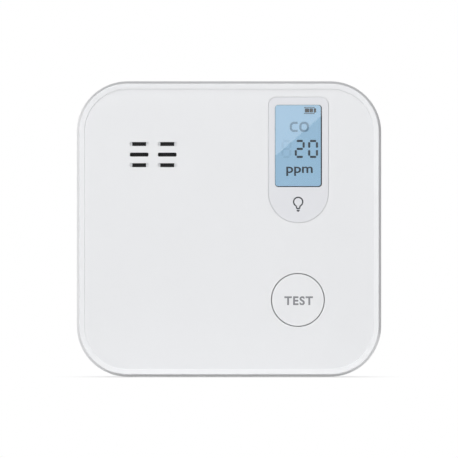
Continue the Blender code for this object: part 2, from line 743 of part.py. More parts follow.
def test_button():
    """A cup with a flange that keeps it behind the cover and a stem that presses the switch."""
    edge = 0.3 * MM
    front = -FACE
    flange = -COLLAR_END - GAP
    inner_face = 34.1 * MM
    profile = [(0, front), (BUTTON_R - edge, front)]
    profile += [(BUTTON_R - edge + s, front - edge + c) for s, c in arc(edge, 3)]
    profile += [(BUTTON_R, flange), (BUTTON_FLANGE_R, flange), (BUTTON_FLANGE_R, flange - 1.2 * MM)]
    profile += [(7.5 * MM, flange - 1.2 * MM), (7.5 * MM, inner_face), (2 * MM, inner_face)]
    stem_end = 29.4 * MM
    profile += [(2 * MM, stem_end), (0, stem_end)]
    turned("test_button", profile, "white", housing_point(BUTTON_X, BUTTON_UP), steps=ROUND_STEPS)


def tact_switch():
    half = 3 * MM
    bm = bmesh.new()
    low = (BUTTON_X - half, SWITCH_FRONT, BUTTON_UP - half)
    high = (BUTTON_X + half, BOARD_TOP, BUTTON_UP + half)
    add_rounded_box(bm, low, high, 0.4 * MM, 2)
    switch = shape("tact_switch", bm, "black")
    well_floor = SWITCH_FRONT + 1.6 * MM
    cut(switch, "plunger_well", rods([(BUTTON_X, BUTTON_UP)], 1.9 * MM, SWITCH_FRONT - CLEAR, well_floor))
    tip = 29.1 * MM
    foot = -SWITCH_FRONT - 0.8 * MM
    profile = [(0, tip), (1.4 * MM, tip), (1.6 * MM, tip - 0.2 * MM), (1.6 * MM, foot), (0, foot)]
    turned("tact_plunger", profile, "white", housing_point(BUTTON_X, BUTTON_UP), steps=FINE_STEPS)


# ---------------------------------------------------------------- board, sensor and sounder


def circuit_board():
    """The board, with its corners cut away round the case bosses."""
    bm = bmesh.new()
    low = (-BOARD_HALF_WIDTH, BOARD_FRONT, BOARD_LOW)
    high = (BOARD_HALF_WIDTH, BOARD_BACK, BOARD_HIGH)
    add_rounded_box(bm, low, high, 1 * MM, 3)
    board = shape("circuit_board", bm, "board")
    corners = bmesh.new()
    for x, up in case_screw_places():
        inner = Vector((SCREW_X - 5 * MM, SCREW_UP - 5 * MM))
        xs = sorted((math.copysign(inner.x, x), math.copysign(60 * MM, x)))
        ups = sorted((math.copysign(inner.y, up), math.copysign(60 * MM, up)))
        lows = (xs[0], BOARD_FRONT - CLEAR, ups[0])
        add_rounded_box(corners, lows, (xs[1], BOARD_BACK + CLEAR, ups[1]), 2 * MM, 4)
    cut(board, "corners", corners)
    cut(board, "screw_holes", rods(POST_PLACES, 1.6 * MM, BOARD_FRONT - CLEAR, BOARD_BACK + CLEAR, 12))


def microcontroller():
    """A square chip with six legs on each side."""
    x, up, half = 3 * MM, -8 * MM, 5 * MM
    top = BOARD_TOP - 1.5 * MM
    bm = bmesh.new()
    add_box(bm, (x - half, top, up - half), (x + half, BOARD_TOP - 0.1 * MM, up + half))
    chip = shape("microcontroller", bm, "black")
    legs = bmesh.new()
    for step in range(6):
        along = (step - 2.5) * 1.4 * MM
        for side in (-1, 1):
            near, far = sorted((side * (half - OVERLAP), side * (half + 1 * MM)))
            foot = BOARD_TOP - 0.6 * MM
            width = 0.25 * MM
            add_box(legs, (x + near, foot, up + along - width), (x + far, BOARD_TOP, up + along + width))
            add_box(legs, (x + along - width, foot, up + near), (x + along + width, BOARD_TOP, up + far))
    join(chip, "legs", legs)


def capacitor_profile():
    base, top, radius = -BOARD_TOP, 31.4 * MM, 3.15 * MM
    rounded = [(radius - 0.5 * MM + s, top - 0.5 * MM + c) for s, c in arc(0.5 * MM, 3)]
    groove = [(radius, base + 1.6 * MM), (radius - 0.4 * MM, base + 1.2 * MM), (radius, base + 0.8 * MM)]
    return [(0, top), (radius - 0.5 * MM, top)] + rounded + groove + [(radius, base), (0, base)]


def power_parts():
    """The coil that drives the sounder and its two capacitors."""
    base, top = -BOARD_TOP, 31.6 * MM
    drum, waist = 4.5 * MM, 3.4 * MM
    profile = [(0, top), (drum, top), (drum, top - 1.4 * MM), (waist, top - 1.6 * MM)]
    profile += [(waist, base + 2 * MM), (drum, base + 1.8 * MM), (drum, base), (0, base)]
    turned("inductor", profile, "copper", housing_point(-18 * MM, -34 * MM), steps=24)
    first = turned("capacitor_1", capacitor_profile(), "sleeve", housing_point(-6 * MM, -30 * MM), steps=18)
    place = housing_point(4 * MM, -30 * MM)
    second = piece("capacitor_2", first.data, "sleeve", place, first.rotation_euler)
    copy_screw(first, second)


def copy_screw(source, target):
    """Gives a copy of a turned piece the same Screw modifier."""
    screw = target.modifiers.new("turn", "SCREW")
    screw.steps = screw.render_steps = source.modifiers["turn"].steps
    screw.use_merge_vertices = True
    screw.merge_threshold = source.modifiers["turn"].merge_threshold


def co_sensor():
    """A round electrochemical cell with a small gas inlet, and the foam ring that seals it."""
    base, top, radius = -BOARD_TOP, 31.9 * MM, 9.5 * MM
    profile = [(0, top - 1 * MM), (1.5 * MM, top - 1 * MM), (1.5 * MM, top), (8 * MM, top)]
    profile += [(8.6 * MM, top - 0.6 * MM), (8.6 * MM, top - 2 * MM), (radius, top - 2.4 * MM)]
    foot = radius - 0.5 * MM
    profile += [(radius, base + 1 * MM), (foot, base + 1 * MM), (foot, base), (0, base)]
    place = housing_point(-20 * MM, -13 * MM)
    turned("co_sensor", profile, "steel", place, steps=24)
    front, back = -FACE_BACK - GAP, top + GAP
    ring = [(6 * MM, front), (8 * MM, front), (8 * MM, back), (6 * MM, back)]
    turned("sensor_gasket", ring, "foam", place, steps=24, ring=True)


def sounder():
    """A cup with a ledge for the piezo disc, and the screen that covers the ports."""
    base, front = -BOARD_TOP, -FACE_BACK - GAP
    ledge = 28.9 * MM
    bore, seat_r = 12.2 * MM, 13.6 * MM
    place = housing_point(SOUNDER_X, SOUNDER_UP)
    profile = [(seat_r, front), (SOUNDER_R, front), (SOUNDER_R, base), (3 * MM, base)]
    profile += [(3 * MM, base + 1.5 * MM), (bore, base + 1.5 * MM), (bore, ledge), (seat_r, ledge)]
    turned("sounder_housing", profile, "black", place, steps=ROUND_STEPS, ring=True)
    disc_back, disc_front = ledge + GAP, ledge + GAP + 0.3 * MM
    disc_r = seat_r - GAP
    disc = [(0, disc_front), (disc_r, disc_front), (disc_r, disc_back), (0, disc_back)]
    turned("piezo_disc", disc, "brass", place, steps=28)
    ceramic_front = disc_back - 0.1 * MM
    ceramic_back = ceramic_front - 0.25 * MM
    ceramic_r = 9 * MM
    ceramic = [(0, ceramic_front), (ceramic_r, ceramic_front), (ceramic_r, ceramic_back), (0, ceramic_back)]
    turned("piezo_ceramic", ceramic, "ceramic", place, steps=28)
    mesh_back = front - 0.4 * MM
    screen_r = seat_r - GAP
    screen = [(0, front), (screen_r, front), (screen_r, mesh_back), (0, mesh_back)]
    turned("dust_mesh", screen, "foam", place, steps=28)


# ---------------------------------------------------------------- batteries and screws


def battery_cells():
    """Two cells that point opposite ways."""
    radius, edge, nub, nub_r = CELL_R, 0.6 * MM, 1.2 * MM, 2.6 * MM
    shoulder = CELL_LENGTH - nub
    profile = [(0, CELL_LENGTH), (nub_r - 0.3 * MM, CELL_LENGTH), (nub_r, CELL_LENGTH - 0.3 * MM)]
    profile += [(nub_r, shoulder), (radius - edge, shoulder)]
    profile += [(radius - edge + s, shoulder - edge + c) for s, c in arc(edge, 2)]
    profile += [(radius - edge + c, edge - s) for s, c in arc(edge, 2)]
    profile += [(4.5 * MM, 0), (4.2 * MM, 0.2 * MM), (0, 0.2 * MM)]
    tip = CONTACT_X - GAP
    quarter = math.pi / 2
    start = housing_point(tip - CELL_LENGTH, CELL_UPS[0], CELL_Y)
    first = turned("battery_cell_1", profile, "cell", start, 28, (0, quarter, 0))
    start = housing_point(CELL_LENGTH - tip, CELL_UPS[1], CELL_Y)
    second = piece("battery_cell_2", first.data, "cell", start, (0, -quarter, 0))
    copy_screw(first, second)


def battery_spring(name, up, side):
    """A conical spring between a contact plate and a cell's flat end."""
    wire, turns, steps = 0.35 * MM, 3.5, 10
    start = CONTACT_X - GAP - wire
    end = CELL_LENGTH - CONTACT_X + GAP + GAP + wire
    wide, narrow = 4.2 * MM, 2.4 * MM
    curve = bpy.data.curves.new(name, "CURVE")
    curve.dimensions = "3D"
    curve.bevel_depth = wire
    curve.bevel_resolution = 1
    curve.use_fill_caps = True
    spline = curve.splines.new("POLY")
    count = int(turns * steps)
    spline.points.add(count)
    for index, point in enumerate(spline.points):
        t = index / count
        angle = 2 * math.pi * turns * t
        radius = wide + (narrow - wide) * t
        x = side * (start + (end - start) * t)
        point.co = (x, radius * math.cos(angle), radius * math.sin(angle), 1)
    piece(name, curve, "nickel", housing_point(0, up, CELL_Y))


def terminal(name, up):
    """A contact plate with a tab that runs forward to the board."""
    outer = -CONTACT_X - CONTACT_THICK
    plate = ((outer, -15 * MM, up - 4.4 * MM), (-CONTACT_X, -4.5 * MM, up + 4.4 * MM))
    obj = shape(name, boxes(plate), "nickel")
    tab = ((outer, BOARD_BACK + GAP, up - 1.5 * MM), (-CONTACT_X, -14 * MM, up + 1.5 * MM))
    join(obj, "tab", boxes(tab))


def bridge_contact():
    """One strip that joins the two cells at the far end of the bay."""
    high, low = CELL_UPS[0] + 4.4 * MM, CELL_UPS[1] - 4.4 * MM
    outer = CONTACT_X + CONTACT_THICK
    strip = ((CONTACT_X, -9.7 * MM, low), (outer, -4.5 * MM, high))
    bridge = shape("bridge_contact", boxes(strip), "nickel")
    lobes = [((CONTACT_X, -15 * MM, up - 4.4 * MM), (outer, -9 * MM, up + 4.4 * MM)) for up in CELL_UPS]
    join(bridge, "lobes", boxes(*lobes))


def contacts():
    terminal("negative_terminal", CELL_UPS[0])
    terminal("positive_terminal", CELL_UPS[1])
    bridge_contact()
    battery_spring("battery_spring_1", CELL_UPS[0], -1)
    battery_spring("battery_spring_2", CELL_UPS[1], 1)


def screw_profile(seat, head_r, head_height, shank_r, tip):
    """A pan-headed screw that points forward; the driver's recess is a small cone."""
    back = seat - head_height
    profile = [(0, tip), (0.3 * MM, tip), (shank_r, tip - 1.2 * MM), (shank_r, seat)]
    profile += [(head_r, seat), (head_r, back + 0.6 * MM), (head_r - 0.6 * MM, back)]
    return profile + [(1.2 * MM, back), (0, back + 0.9 * MM)]


def screws():
    """Four case screws from the back, and three screws that hold the board."""
    seat = -SCREW_SEAT - GAP
    case = screw_profile(seat, 2.9 * MM, 1.9 * MM, 1.3 * MM, 19 * MM)
    board = screw_profile(-BOARD_BACK - GAP, 2.6 * MM, 1.5 * MM, 1.2 * MM, 30 * MM)
    for name, profile, places in (("case", case, case_screw_places()), ("board", board, POST_PLACES)):
        first = None
        for number, (x, up) in enumerate(places, 1):
            label = f"{name}_screw_{number}"
            if first is None:
                first = turned(label, profile, "steel", housing_point(x, up), steps=12)
                continue
            made = piece(label, first.data, "steel", housing_point(x, up), first.rotation_euler)
            copy_screw(first, made)


def build():
    clear_scene()
    front_cover()
    rear_cover()
    wall_bracket()
    battery_door()
    display_bezel()
    display_stack()
    indicator()
    test_button()
    tact_switch()
    circuit_board()
    microcontroller()
    power_parts()
    co_sensor()
    sounder()
    battery_cells()
    contacts()
    screws()


build()
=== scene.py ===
"""Carbon monoxide alarm: the dressed model and its studio, laid out as a Blender add-on.

Run as a script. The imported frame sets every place: metres, +Z up, the front faces -Y. Pieces of the
alarm are drawn about the housing's centre and settle() moves them to their place; "up" in a comment is
a height above that centre.
"""

import math
from functools import partial

import bmesh
import bpy
from bpy.props import FloatProperty, FloatVectorProperty, PointerProperty
from mathutils import Matrix, Vector


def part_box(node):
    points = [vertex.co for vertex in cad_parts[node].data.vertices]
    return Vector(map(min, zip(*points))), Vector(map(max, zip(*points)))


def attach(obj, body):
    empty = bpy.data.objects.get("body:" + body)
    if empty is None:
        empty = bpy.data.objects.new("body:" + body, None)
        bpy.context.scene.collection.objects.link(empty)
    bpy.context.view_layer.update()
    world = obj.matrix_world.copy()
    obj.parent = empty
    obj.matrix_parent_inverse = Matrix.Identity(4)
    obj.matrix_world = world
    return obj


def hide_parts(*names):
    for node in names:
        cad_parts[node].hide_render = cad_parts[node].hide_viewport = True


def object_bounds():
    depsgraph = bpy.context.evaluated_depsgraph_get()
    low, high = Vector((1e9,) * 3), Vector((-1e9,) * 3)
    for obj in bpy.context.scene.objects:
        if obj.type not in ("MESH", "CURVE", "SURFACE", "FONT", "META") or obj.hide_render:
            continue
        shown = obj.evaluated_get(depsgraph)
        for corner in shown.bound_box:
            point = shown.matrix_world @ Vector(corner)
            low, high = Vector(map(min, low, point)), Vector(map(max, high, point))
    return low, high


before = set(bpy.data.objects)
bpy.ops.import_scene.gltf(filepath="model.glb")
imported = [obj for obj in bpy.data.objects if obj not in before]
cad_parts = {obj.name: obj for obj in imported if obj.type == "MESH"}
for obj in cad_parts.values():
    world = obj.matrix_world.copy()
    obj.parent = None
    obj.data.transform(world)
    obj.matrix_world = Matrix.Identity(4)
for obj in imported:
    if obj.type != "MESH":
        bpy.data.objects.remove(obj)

bl_info = {
    "name": "Carbon monoxide alarm",
    "version": (1, 0, 0),
    "blender": (4, 5, 0),
    "location": "3D View > Sidebar > Alarm",
    "description": "Builds a wall-hung carbon monoxide alarm, its finishes and a small studio",
    "category": "Add Mesh",
}

MM = 0.001
CAD_BOX = [[float(value) for value in corner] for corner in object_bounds()]

# Planes and places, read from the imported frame
COVER_LOW, COVER_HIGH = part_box("front_cover")
BEZEL_LOW, BEZEL_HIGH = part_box("display_bezel")
LENS_LOW, LENS_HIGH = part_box("display_window")
GLASS_LOW, GLASS_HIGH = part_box("lcd_panel")
BUTTON_LOW, BUTTON_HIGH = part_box("test_button")
SOUNDER_LOW, SOUNDER_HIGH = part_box("sounder_housing")
PIPE_LOW, PIPE_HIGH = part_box("light_pipe")
CENTRE = Vector((0, 0, (COVER_LOW.z + COVER_HIGH.z) / 2))
FLOOR_LEVEL = CAD_BOX[0][2]
HALF_WIDTH = (COVER_HIGH.x - COVER_LOW.x) / 2
HALF_HEIGHT = (COVER_HIGH.z - COVER_LOW.z) / 2
CREST = COVER_LOW.y
COVER_END = COVER_HIGH.y
FACE = BEZEL_LOW.y
BEZEL_BACK = BEZEL_HIGH.y
PANEL_X = (BEZEL_LOW.x + BEZEL_HIGH.x) / 2
PANEL_HALF = (BEZEL_HIGH.x - BEZEL_LOW.x) / 2
PANEL_TOP = BEZEL_HIGH.z - CENTRE.z
PANEL_FOOT = BEZEL_LOW.z - CENTRE.z
WINDOW_UP = (LENS_LOW.z + LENS_HIGH.z) / 2 - CENTRE.z
BUTTON = ((BUTTON_LOW.x + BUTTON_HIGH.x) / 2, (BUTTON_LOW.z + BUTTON_HIGH.z) / 2 - CENTRE.z)
FLANGE = (BUTTON_HIGH.x - BUTTON_LOW.x) / 2
SOUNDER_X = (SOUNDER_LOW.x + SOUNDER_HIGH.x) / 2
SOUNDER_UP = (SOUNDER_LOW.z + SOUNDER_HIGH.z) / 2 - CENTRE.z
INDICATOR_UP = (PIPE_LOW.z + PIPE_HIGH.z) / 2 - CENTRE.z

# Sizes that only this script sets
WALL = 2.2 * MM
FACE_BACK = -33.5 * MM
PAD_BACK = -32.4 * MM
COLLAR_END = -29 * MM
BOARD_TOP = -23.4 * MM
SEAT_GAP = 0.3 * MM
CLEAR = 2 * MM
OVERLAP = 0.4 * MM
PORT_XS = (SOUNDER_X - 4.65 * MM, SOUNDER_X + 4.65 * MM)
SLOT_UPS = (SOUNDER_UP + 3.58 * MM, SOUNDER_UP + 0.08 * MM, SOUNDER_UP - 3.42 * MM)
POST_PLACES = ((-38 * MM, 0), (38 * MM, 0), (1 * MM, 38 * MM))
SCREW_X = 39.5 * MM
SCREW_UP = 38 * MM
SCREW_PLACES = [(x, up) for x in (-SCREW_X, SCREW_X) for up in (-SCREW_UP, SCREW_UP)]
CORNER_STEPS = 28
SPIN_STEPS = 96
INK = 0.04 * MM

# The angle from which an edge counts as sharp
SHARP = math.radians(32)


def linear(code):
    """A colour written as #rrggbb sRGB, as the linear RGBA that shaders take."""
    channels = [int(code[i : i + 2], 16) / 255 for i in (1, 3, 5)]
    return (*[c / 12.92 if c <= 0.04045 else ((c + 0.055) / 1.055) ** 2.4 for c in channels], 1.0)


# ---------------------------------------------------------------- what a user may change


def length(name, description, default):
    """A length in millimetres as a property in metres."""
    return FloatProperty(
        name=name, description=description, default=default * MM, min=0, precision=5, unit="LENGTH"
    )


def amount(name, description, default, low=0):
    """A plain number as a property that goes no lower than low."""
    return FloatProperty(name=name, description=description, default=default, min=low)


def colour(name, description, code):
    """A colour written as #rrggbb as a property."""
    return FloatVectorProperty(
        name=name, description=description, default=linear(code), size=4, min=0, max=1, subtype="COLOR"
    )


class AlarmHousing(bpy.types.PropertyGroup):
    """Sizes of the moulded covers."""

    corner: length("Corner radius", "Radius of the housing's corners at the parting line", 16.9)
    draft: length("Draft", "How far each side wall draws in towards the rim", 0.95)
    rim_width: length("Rim width", "Width of the raised rim round the front", 1.75)
    rim_round: length("Rim rounding", "Radius along the rim's outer edge", 0.25)
    rim_inner_round: length("Inner rounding", "Radius along the rim's inner edge", 0.08)
    rim_fall: length("Rim fall", "How far the crest falls from its outer edge to its inner one", 0.14)
    cove_depth: length("Cove depth", "How far the face dips beside the rim", 0.1)
    cove_width: length("Cove width", "How far the dip reaches in from the rim", 4.5)
    slot_width: length("Slot width", "Width of one vent slot", 6.15)
    slot_height: length("Slot height", "Height of one vent slot", 1.29)
    slot_lip: length("Slot lip", "Rounding round the mouth of a vent slot", 0.12)
    port_width: length("Port width", "Width of the upright sound ports behind the slots", 4.6)
    port_height: length("Port height", "Height of the upright sound ports behind the slots", 8.8)
    seam: length("Panel seam", "Gap all round the display panel", 0.08)
    edge_break: length("Edge break", "Rounding on the edges of the rear mouldings", 0.2)


class AlarmDisplay(bpy.types.PropertyGroup):
    """Sizes of the display panel and what it shows."""

    opening_width: length("Opening width", "Width of the display opening", 15.55)
    opening_height: length("Opening height", "Height of the display opening", 27.2)
    opening_corner: length("Opening corner", "Radius of the opening's corners", 1.1)
    bevel: length("Opening bevel", "Width of the bevel round the opening", 0.07)
    shoulder: length("Shoulder radius", "Radius of the panel's upper corners", 2.7)
    digit_width: length("Digit width", "Width of one numeral", 3.3)
    digit_height: length("Digit height", "Height of one numeral", 6.0)
    digit_stroke: length("Digit stroke", "Width of one segment", 0.72)


class AlarmButton(bpy.types.PropertyGroup):
    """Sizes of the test button."""

    radius: length("Radius", "Radius of the button's face", 8.63)
    gap: length("Gap", "Gap between the button and the cover", 0.25)
    edge: length("Edge rounding", "Radius along the button's edge", 0.1)
    lettering: length("Lettering height", "Height of the printed capitals", 2.95)


class AlarmFinish(bpy.types.PropertyGroup):
    """Colours of the main finishes."""

    white: colour("Covers", "Moulded white of the covers, the button and the bracket", "#ECEDEF")
    # Painted highlight: the rim's paler white stands in for the brighter light along the rim
    rim: colour("Rim", "White of the rim, where the tool is polished", "#F1F2F4")
    panel: colour("Panel", "Moulded light grey of the display panel", "#E4E5E9")
    display: colour("Display", "Backlit colour of the display", "#9DC0D9")
    segment: colour("Segments", "Colour of the dark segments", "#2C353D")
    battery: colour("Battery mark", "Colour of the display's battery mark", "#0B0D10")
    faint: colour("Faint segments", "Colour of the segments that are half on", "#66869F")
    ghost: colour("Ghost segments", "Colour of the segments that are off", "#8EB2CD")
    print_dark: colour("Icon ink", "Ink of the lamp icon", "#2E3035")
    print_grey: colour("Button ink", "Ink of the button's lettering", "#88898D")


class AlarmStudio(bpy.types.PropertyGroup):
    """The camera, the lamps and the floor."""

    lens: amount("Focal length", "Camera focal length in millimetres", 1500, 20)
    view_width: length("View width", "Width of the view at the alarm's front", 151.66)
    ambient: amount("Ambient level", "Strength of the soft light from all round", 0.2)
    key_power: amount("Key lamp", "Power of the main soft lamp", 16.8)
    fill_power: amount("Fill lamp", "Power of the lamp on the right", 10.4)
    top_power: amount("Top lamp", "Power of the lamp above", 9.0)
    back_power: amount("Back lamps", "Power of each lamp behind", 2.2)
    rear_power: amount("Rear lamp", "Power of the small lamp straight behind", 3.2)
    floor: colour("Floor", "Colour of the floor beside the alarm", "#EAEAEA")


# ---------------------------------------------------------------- mesh tools


def corners(x, up, half_x, half_z, low, high):
    """The corners of a box about (x, up) that runs from low to high along Y."""
    return (x - half_x, low, up - half_z), (x + half_x, high, up + half_z)


def box_edges(bm, low, high):
    """Adds a box between two corners and returns its edges."""
    low, high = Vector(low), Vector(high)
    place = Matrix.Translation((low + high) / 2) @ Matrix.Diagonal((*(high - low), 1))
    verts = bmesh.ops.create_cube(bm, size=1, matrix=place)["verts"]
    return list(dict.fromkeys(edge for vert in verts for edge in vert.link_edges))


def along_y(edges):
    """Those of the edges that run along Y."""
    return [e for e in edges if abs((e.verts[0].co - e.verts[1].co).normalized().y) > 0.9]


def round_off(bm, edges, radius, steps):
    """Rounds edges with a radius."""
    look = {"segments": steps, "profile": 0.5, "material": -1}
    bmesh.ops.bevel(bm, geom=edges, offset=radius, affect="EDGES", **look)


def rounded_box(low, high, radius, steps=8):
    """A box whose four edges along Y are rounded."""
    bm = bmesh.new()
    round_off(bm, along_y(box_edges(bm, low, high)), radius, steps)
    return bm


def rods(places, radius, low, high, steps=32):
    """Cylinders along Y about (x, up) places."""
    bm = bmesh.new()
    size = {"segments": steps, "radius1": radius, "radius2": radius, "depth": high - low}
    for x, up in places:
        place = Matrix.Translation((x, (low + high) / 2, up)) @ Matrix.Rotation(math.pi / 2, 4, "X")
        bmesh.ops.create_cone(bm, cap_ends=True, matrix=place, **size)
    return bm


def boxes(*pairs):
    """Plain boxes, each given by its two corners."""
    bm = bmesh.new()
    for low, high in pairs:
        box_edges(bm, low, high)
    return bm


def stepped(bm, direction, section):
    """Steps the large flat face that looks along a direction in and out; section lists (distance in from
    its edge, height above it)."""
    bm.normal_update()
    face = max(bm.faces, key=lambda face: face.normal.dot(Vector(direction)) * face.calc_area())
    inward = height = 0
    for distance, level in section:
        step = {"thickness": distance - inward, "depth": level - height}
        bmesh.ops.inset_region(bm, faces=[face], use_even_offset=True, use_boundary=True, **step)
        inward, height = distance, level
    return bm


def quarter(radius, steps):
    """Sine and cosine of the stations of a quarter circle after the first, times the radius."""
    angles = [math.pi / 2 * i / steps for i in range(1, steps + 1)]
    return [(radius * math.sin(a), radius * math.cos(a)) for a in angles]


def edged(bm, direction, radius):
    """Raises a flat face by the radius, with its edge rounded."""
    return stepped(bm, direction, [(radius - c, s) for s, c in quarter(radius, 4)])


def lipped(bm, lip, reach):
    """Turns the +Y end of a cutter in along a rounded lip, then runs it on by reach."""
    return stepped(bm, (0, 1, 0), [(s, lip - c) for s, c in quarter(lip, 5)] + [(lip, lip + reach)])


def turned(profile, steps=SPIN_STEPS):
    """Spins a profile of (radius, y) points round the Y axis."""
    bm = bmesh.new()
    verts = [bm.verts.new((radius, y, 0)) for radius, y in profile]
    geom = verts + [bm.edges.new(pair) for pair in zip(verts, verts[1:])]
    turn = {"cent": (0, 0, 0), "axis": (0, 1, 0), "angle": 2 * math.pi}
    bmesh.ops.spin(bm, geom=geom, steps=steps, use_merge=True, **turn)
    bmesh.ops.remove_doubles(bm, verts=bm.verts, dist=0.001 * MM)
    bmesh.ops.recalc_face_normals(bm, faces=bm.faces)
    return bm


def moved(bm, x=0.0, y=0.0, up=0.0):
    """The same bmesh, shifted."""
    bmesh.ops.translate(bm, verts=bm.verts, vec=(x, y, up))
    return bm


def added(name, data):
    """A new object in the scene."""
    obj = bpy.data.objects.new(name, data)
    bpy.context.scene.collection.objects.link(obj)
    return obj


def as_object(name, bm):
    """A bmesh as a new object in the scene."""
    mesh = bpy.data.meshes.new(name)
    bm.to_mesh(mesh)
    bm.free()
    return added(name, mesh)


def as_bmesh(obj):
    """An object's final shape, with its curve meshed or its modifiers applied."""
    graph = bpy.context.evaluated_depsgraph_get()
    mesh = bpy.data.meshes.new_from_object(obj.evaluated_get(graph))
    bm = bmesh.new()
    bm.from_mesh(mesh)
    bpy.data.meshes.remove(mesh)
    return bm


def scratch(bm):
    """A passing object for a Boolean."""
    bmesh.ops.recalc_face_normals(bm, faces=bm.faces)
    return as_object("scratch", bm)


def carved(bm, *steps):
    """Runs exact Booleans on a bmesh, one (operation, tool) pair after another."""
    base = scratch(bm)
    helpers = [base]
    for operation, tool in steps:
        modifier = base.modifiers.new("step", "BOOLEAN")
        modifier.operation = operation
        modifier.solver = "EXACT"
        modifier.object = scratch(tool)
        helpers.append(modifier.object)
    bpy.context.view_layer.update()
    made = as_bmesh(base)
    for mesh in [helper.data for helper in helpers]:
        bpy.data.meshes.remove(mesh)  # its object goes with it
    return made


def settle(name, bm, material, slot, *nodes, body="alarm"):
    """Makes the finished piece: its place is in its mesh, and it rides on a body and stands for nodes."""
    obj = as_object(name, moved(bm, *CENTRE))
    obj.data.shade_smooth()
    obj.data.set_sharp_from_angle(angle=SHARP)
    obj.data.materials.append(material)
    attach(obj, body)
    if nodes:
        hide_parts(*nodes)
    return obj


def soften(obj, width=0.0):
    """Breaks the sharp edges and lets the large faces set the shading beside them."""
    if width:
        bevel = obj.modifiers.new("edge_break", "BEVEL")
        bevel.width = width
        bevel.segments = 2
        bevel.limit_method = "ANGLE"
        bevel.angle_limit = SHARP
        bevel.miter_outer = "MITER_ARC"
    normals = obj.modifiers.new("shading", "WEIGHTED_NORMAL")
    normals.keep_sharp = True
    normals.weight = 60


def merged_copy(node):
    """A CAD node's shape as one clean mesh about the housing's centre."""
    bm = bmesh.new()
    bm.from_mesh(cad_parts[node].data)
    bmesh.ops.remove_doubles(bm, verts=bm.verts, dist=0.002 * MM)
    bmesh.ops.dissolve_limit(bm, angle_limit=math.radians(1), verts=bm.verts, edges=bm.edges)
    return moved(bm, up=-CENTRE.z)


def meshed(curve):
    """A curve or text as a bmesh in its own plane."""
    bm = as_bmesh(added("line", curve))
    bpy.data.curves.remove(curve)  # its object goes with it
    return bm


def lettering(text, x_range, up_range, y, weight, spacing=1.0):
    """Printed letters that fill a box on a face that looks along -Y; weight thickens their strokes."""
    curve = bpy.data.curves.new("letters", "FONT")
    curve.body = text
    curve.offset = weight
    curve.space_character = spacing
    curve.extrude = 0.01
    curve.resolution_u = 6
    bm = meshed(curve)
    low, high = (Vector([end(v.co[i] for v in bm.verts) for i in range(3)]) for end in (min, max))
    size = high - low
    bmesh.ops.translate(bm, verts=bm.verts, vec=-(low + high) / 2)
    scale = ((x_range[1] - x_range[0]) / size.x, (up_range[1] - up_range[0]) / size.y, INK / size.z)
    bmesh.ops.scale(bm, verts=bm.verts, vec=scale)
    bmesh.ops.rotate(bm, verts=bm.verts, cent=(0, 0, 0), matrix=Matrix.Rotation(math.pi / 2, 3, "X"))
    return moved(bm, sum(x_range) / 2, y, sum(up_range) / 2)


def stroke(points, width, y, closed=False):
    """A printed line of even width through (x, up) points."""
    curve = bpy.data.curves.new("line", "CURVE")
    curve.dimensions = "3D"
    curve.bevel_depth = width / 2
    curve.bevel_resolution = 2
    curve.use_fill_caps = True
    spline = curve.splines.new("POLY")
    spline.points.add(len(points) - 1)
    spline.use_cyclic_u = closed
    for point, (x, up) in zip(spline.points, points):
        point.co = (x, 0, up, 1)
    bm = meshed(curve)
    bmesh.ops.scale(bm, verts=bm.verts, vec=(1, INK / width, 1))
    return moved(bm, y=y)


def gathered(*parts):
    """Several bmeshes as one."""
    whole = bmesh.new()
    for part in parts:
        mesh = bpy.data.meshes.new("part")
        part.to_mesh(mesh)
        part.free()
        whole.from_mesh(mesh)
        bpy.data.meshes.remove(mesh)
    return whole


def arc_points(x, up, radius, start, end, steps):
    """Points on a circle from one angle to another, in degrees from +X."""
    angles = [math.radians(start + (end - start) * i / steps) for i in range(steps + 1)]
    return [(x + radius * math.cos(a), up + radius * math.sin(a)) for a in angles]


# ---------------------------------------------------------------- finishes

# Sockets of a Mix node that mixes colours
SHARE, FIRST, SECOND, MIXED = 0, 6, 7, 2

# The length of one wave of a wave texture at scale 1
WAVE = math.pi / 10

WHITE = (1, 1, 1, 1)


def feed(node, inputs):
    """Sets inputs by name or in order: to values, to sockets, or to nodes by their first outputs."""
    for socket, source in inputs.items() if isinstance(inputs, dict) else enumerate(inputs):
        if isinstance(source, bpy.types.Node):
            source = source.outputs[0]
        if isinstance(source, bpy.types.NodeSocket):
            node.id_data.links.new(source, node.inputs[socket])
        else:
            node.inputs[socket].default_value = source


def add_node(tree, kind, inputs, **settings):
    """Adds a shader node with its settings and inputs."""
    node = tree.nodes.new("ShaderNode" + kind)
    for name, value in settings.items():
        setattr(node, name, value)
    feed(node, inputs)
    return node


def finish(recipe, *values, name=""):
    """A recipe's material, made when it is first asked for; the recipe's name is its name, unless given."""
    name = name or recipe.__name__
    if name not in bpy.data.materials:
        made = bpy.data.materials.new(name)
        made.use_nodes = True
        node = partial(add_node, made.node_tree)
        place = node("TexCoord", {}).outputs["Object"]
        recipe(node, made.node_tree.nodes["Principled BSDF"], place, *values)
    return bpy.data.materials[name]


def darker(shade, share):
    """A share of a colour's brightness."""
    return (*[channel * share for channel in shade[:3]], 1.0)


def patterned(node, shader, pattern, tones, strength=0.0, relief=0.0, socket="Base Color"):
    """A pattern shifts the surface's colour from one tone to another, and raises it by up to relief."""
    inputs = {SHARE: pattern, FIRST: tones[0], SECOND: tones[1]}
    feed(shader, {socket: node("Mix", inputs, data_type="RGBA").outputs[MIXED]})
    if relief:
        inputs = {"Strength": strength, "Distance": relief, "Height": pattern}
        feed(shader, {"Normal": node("Bump", inputs)})


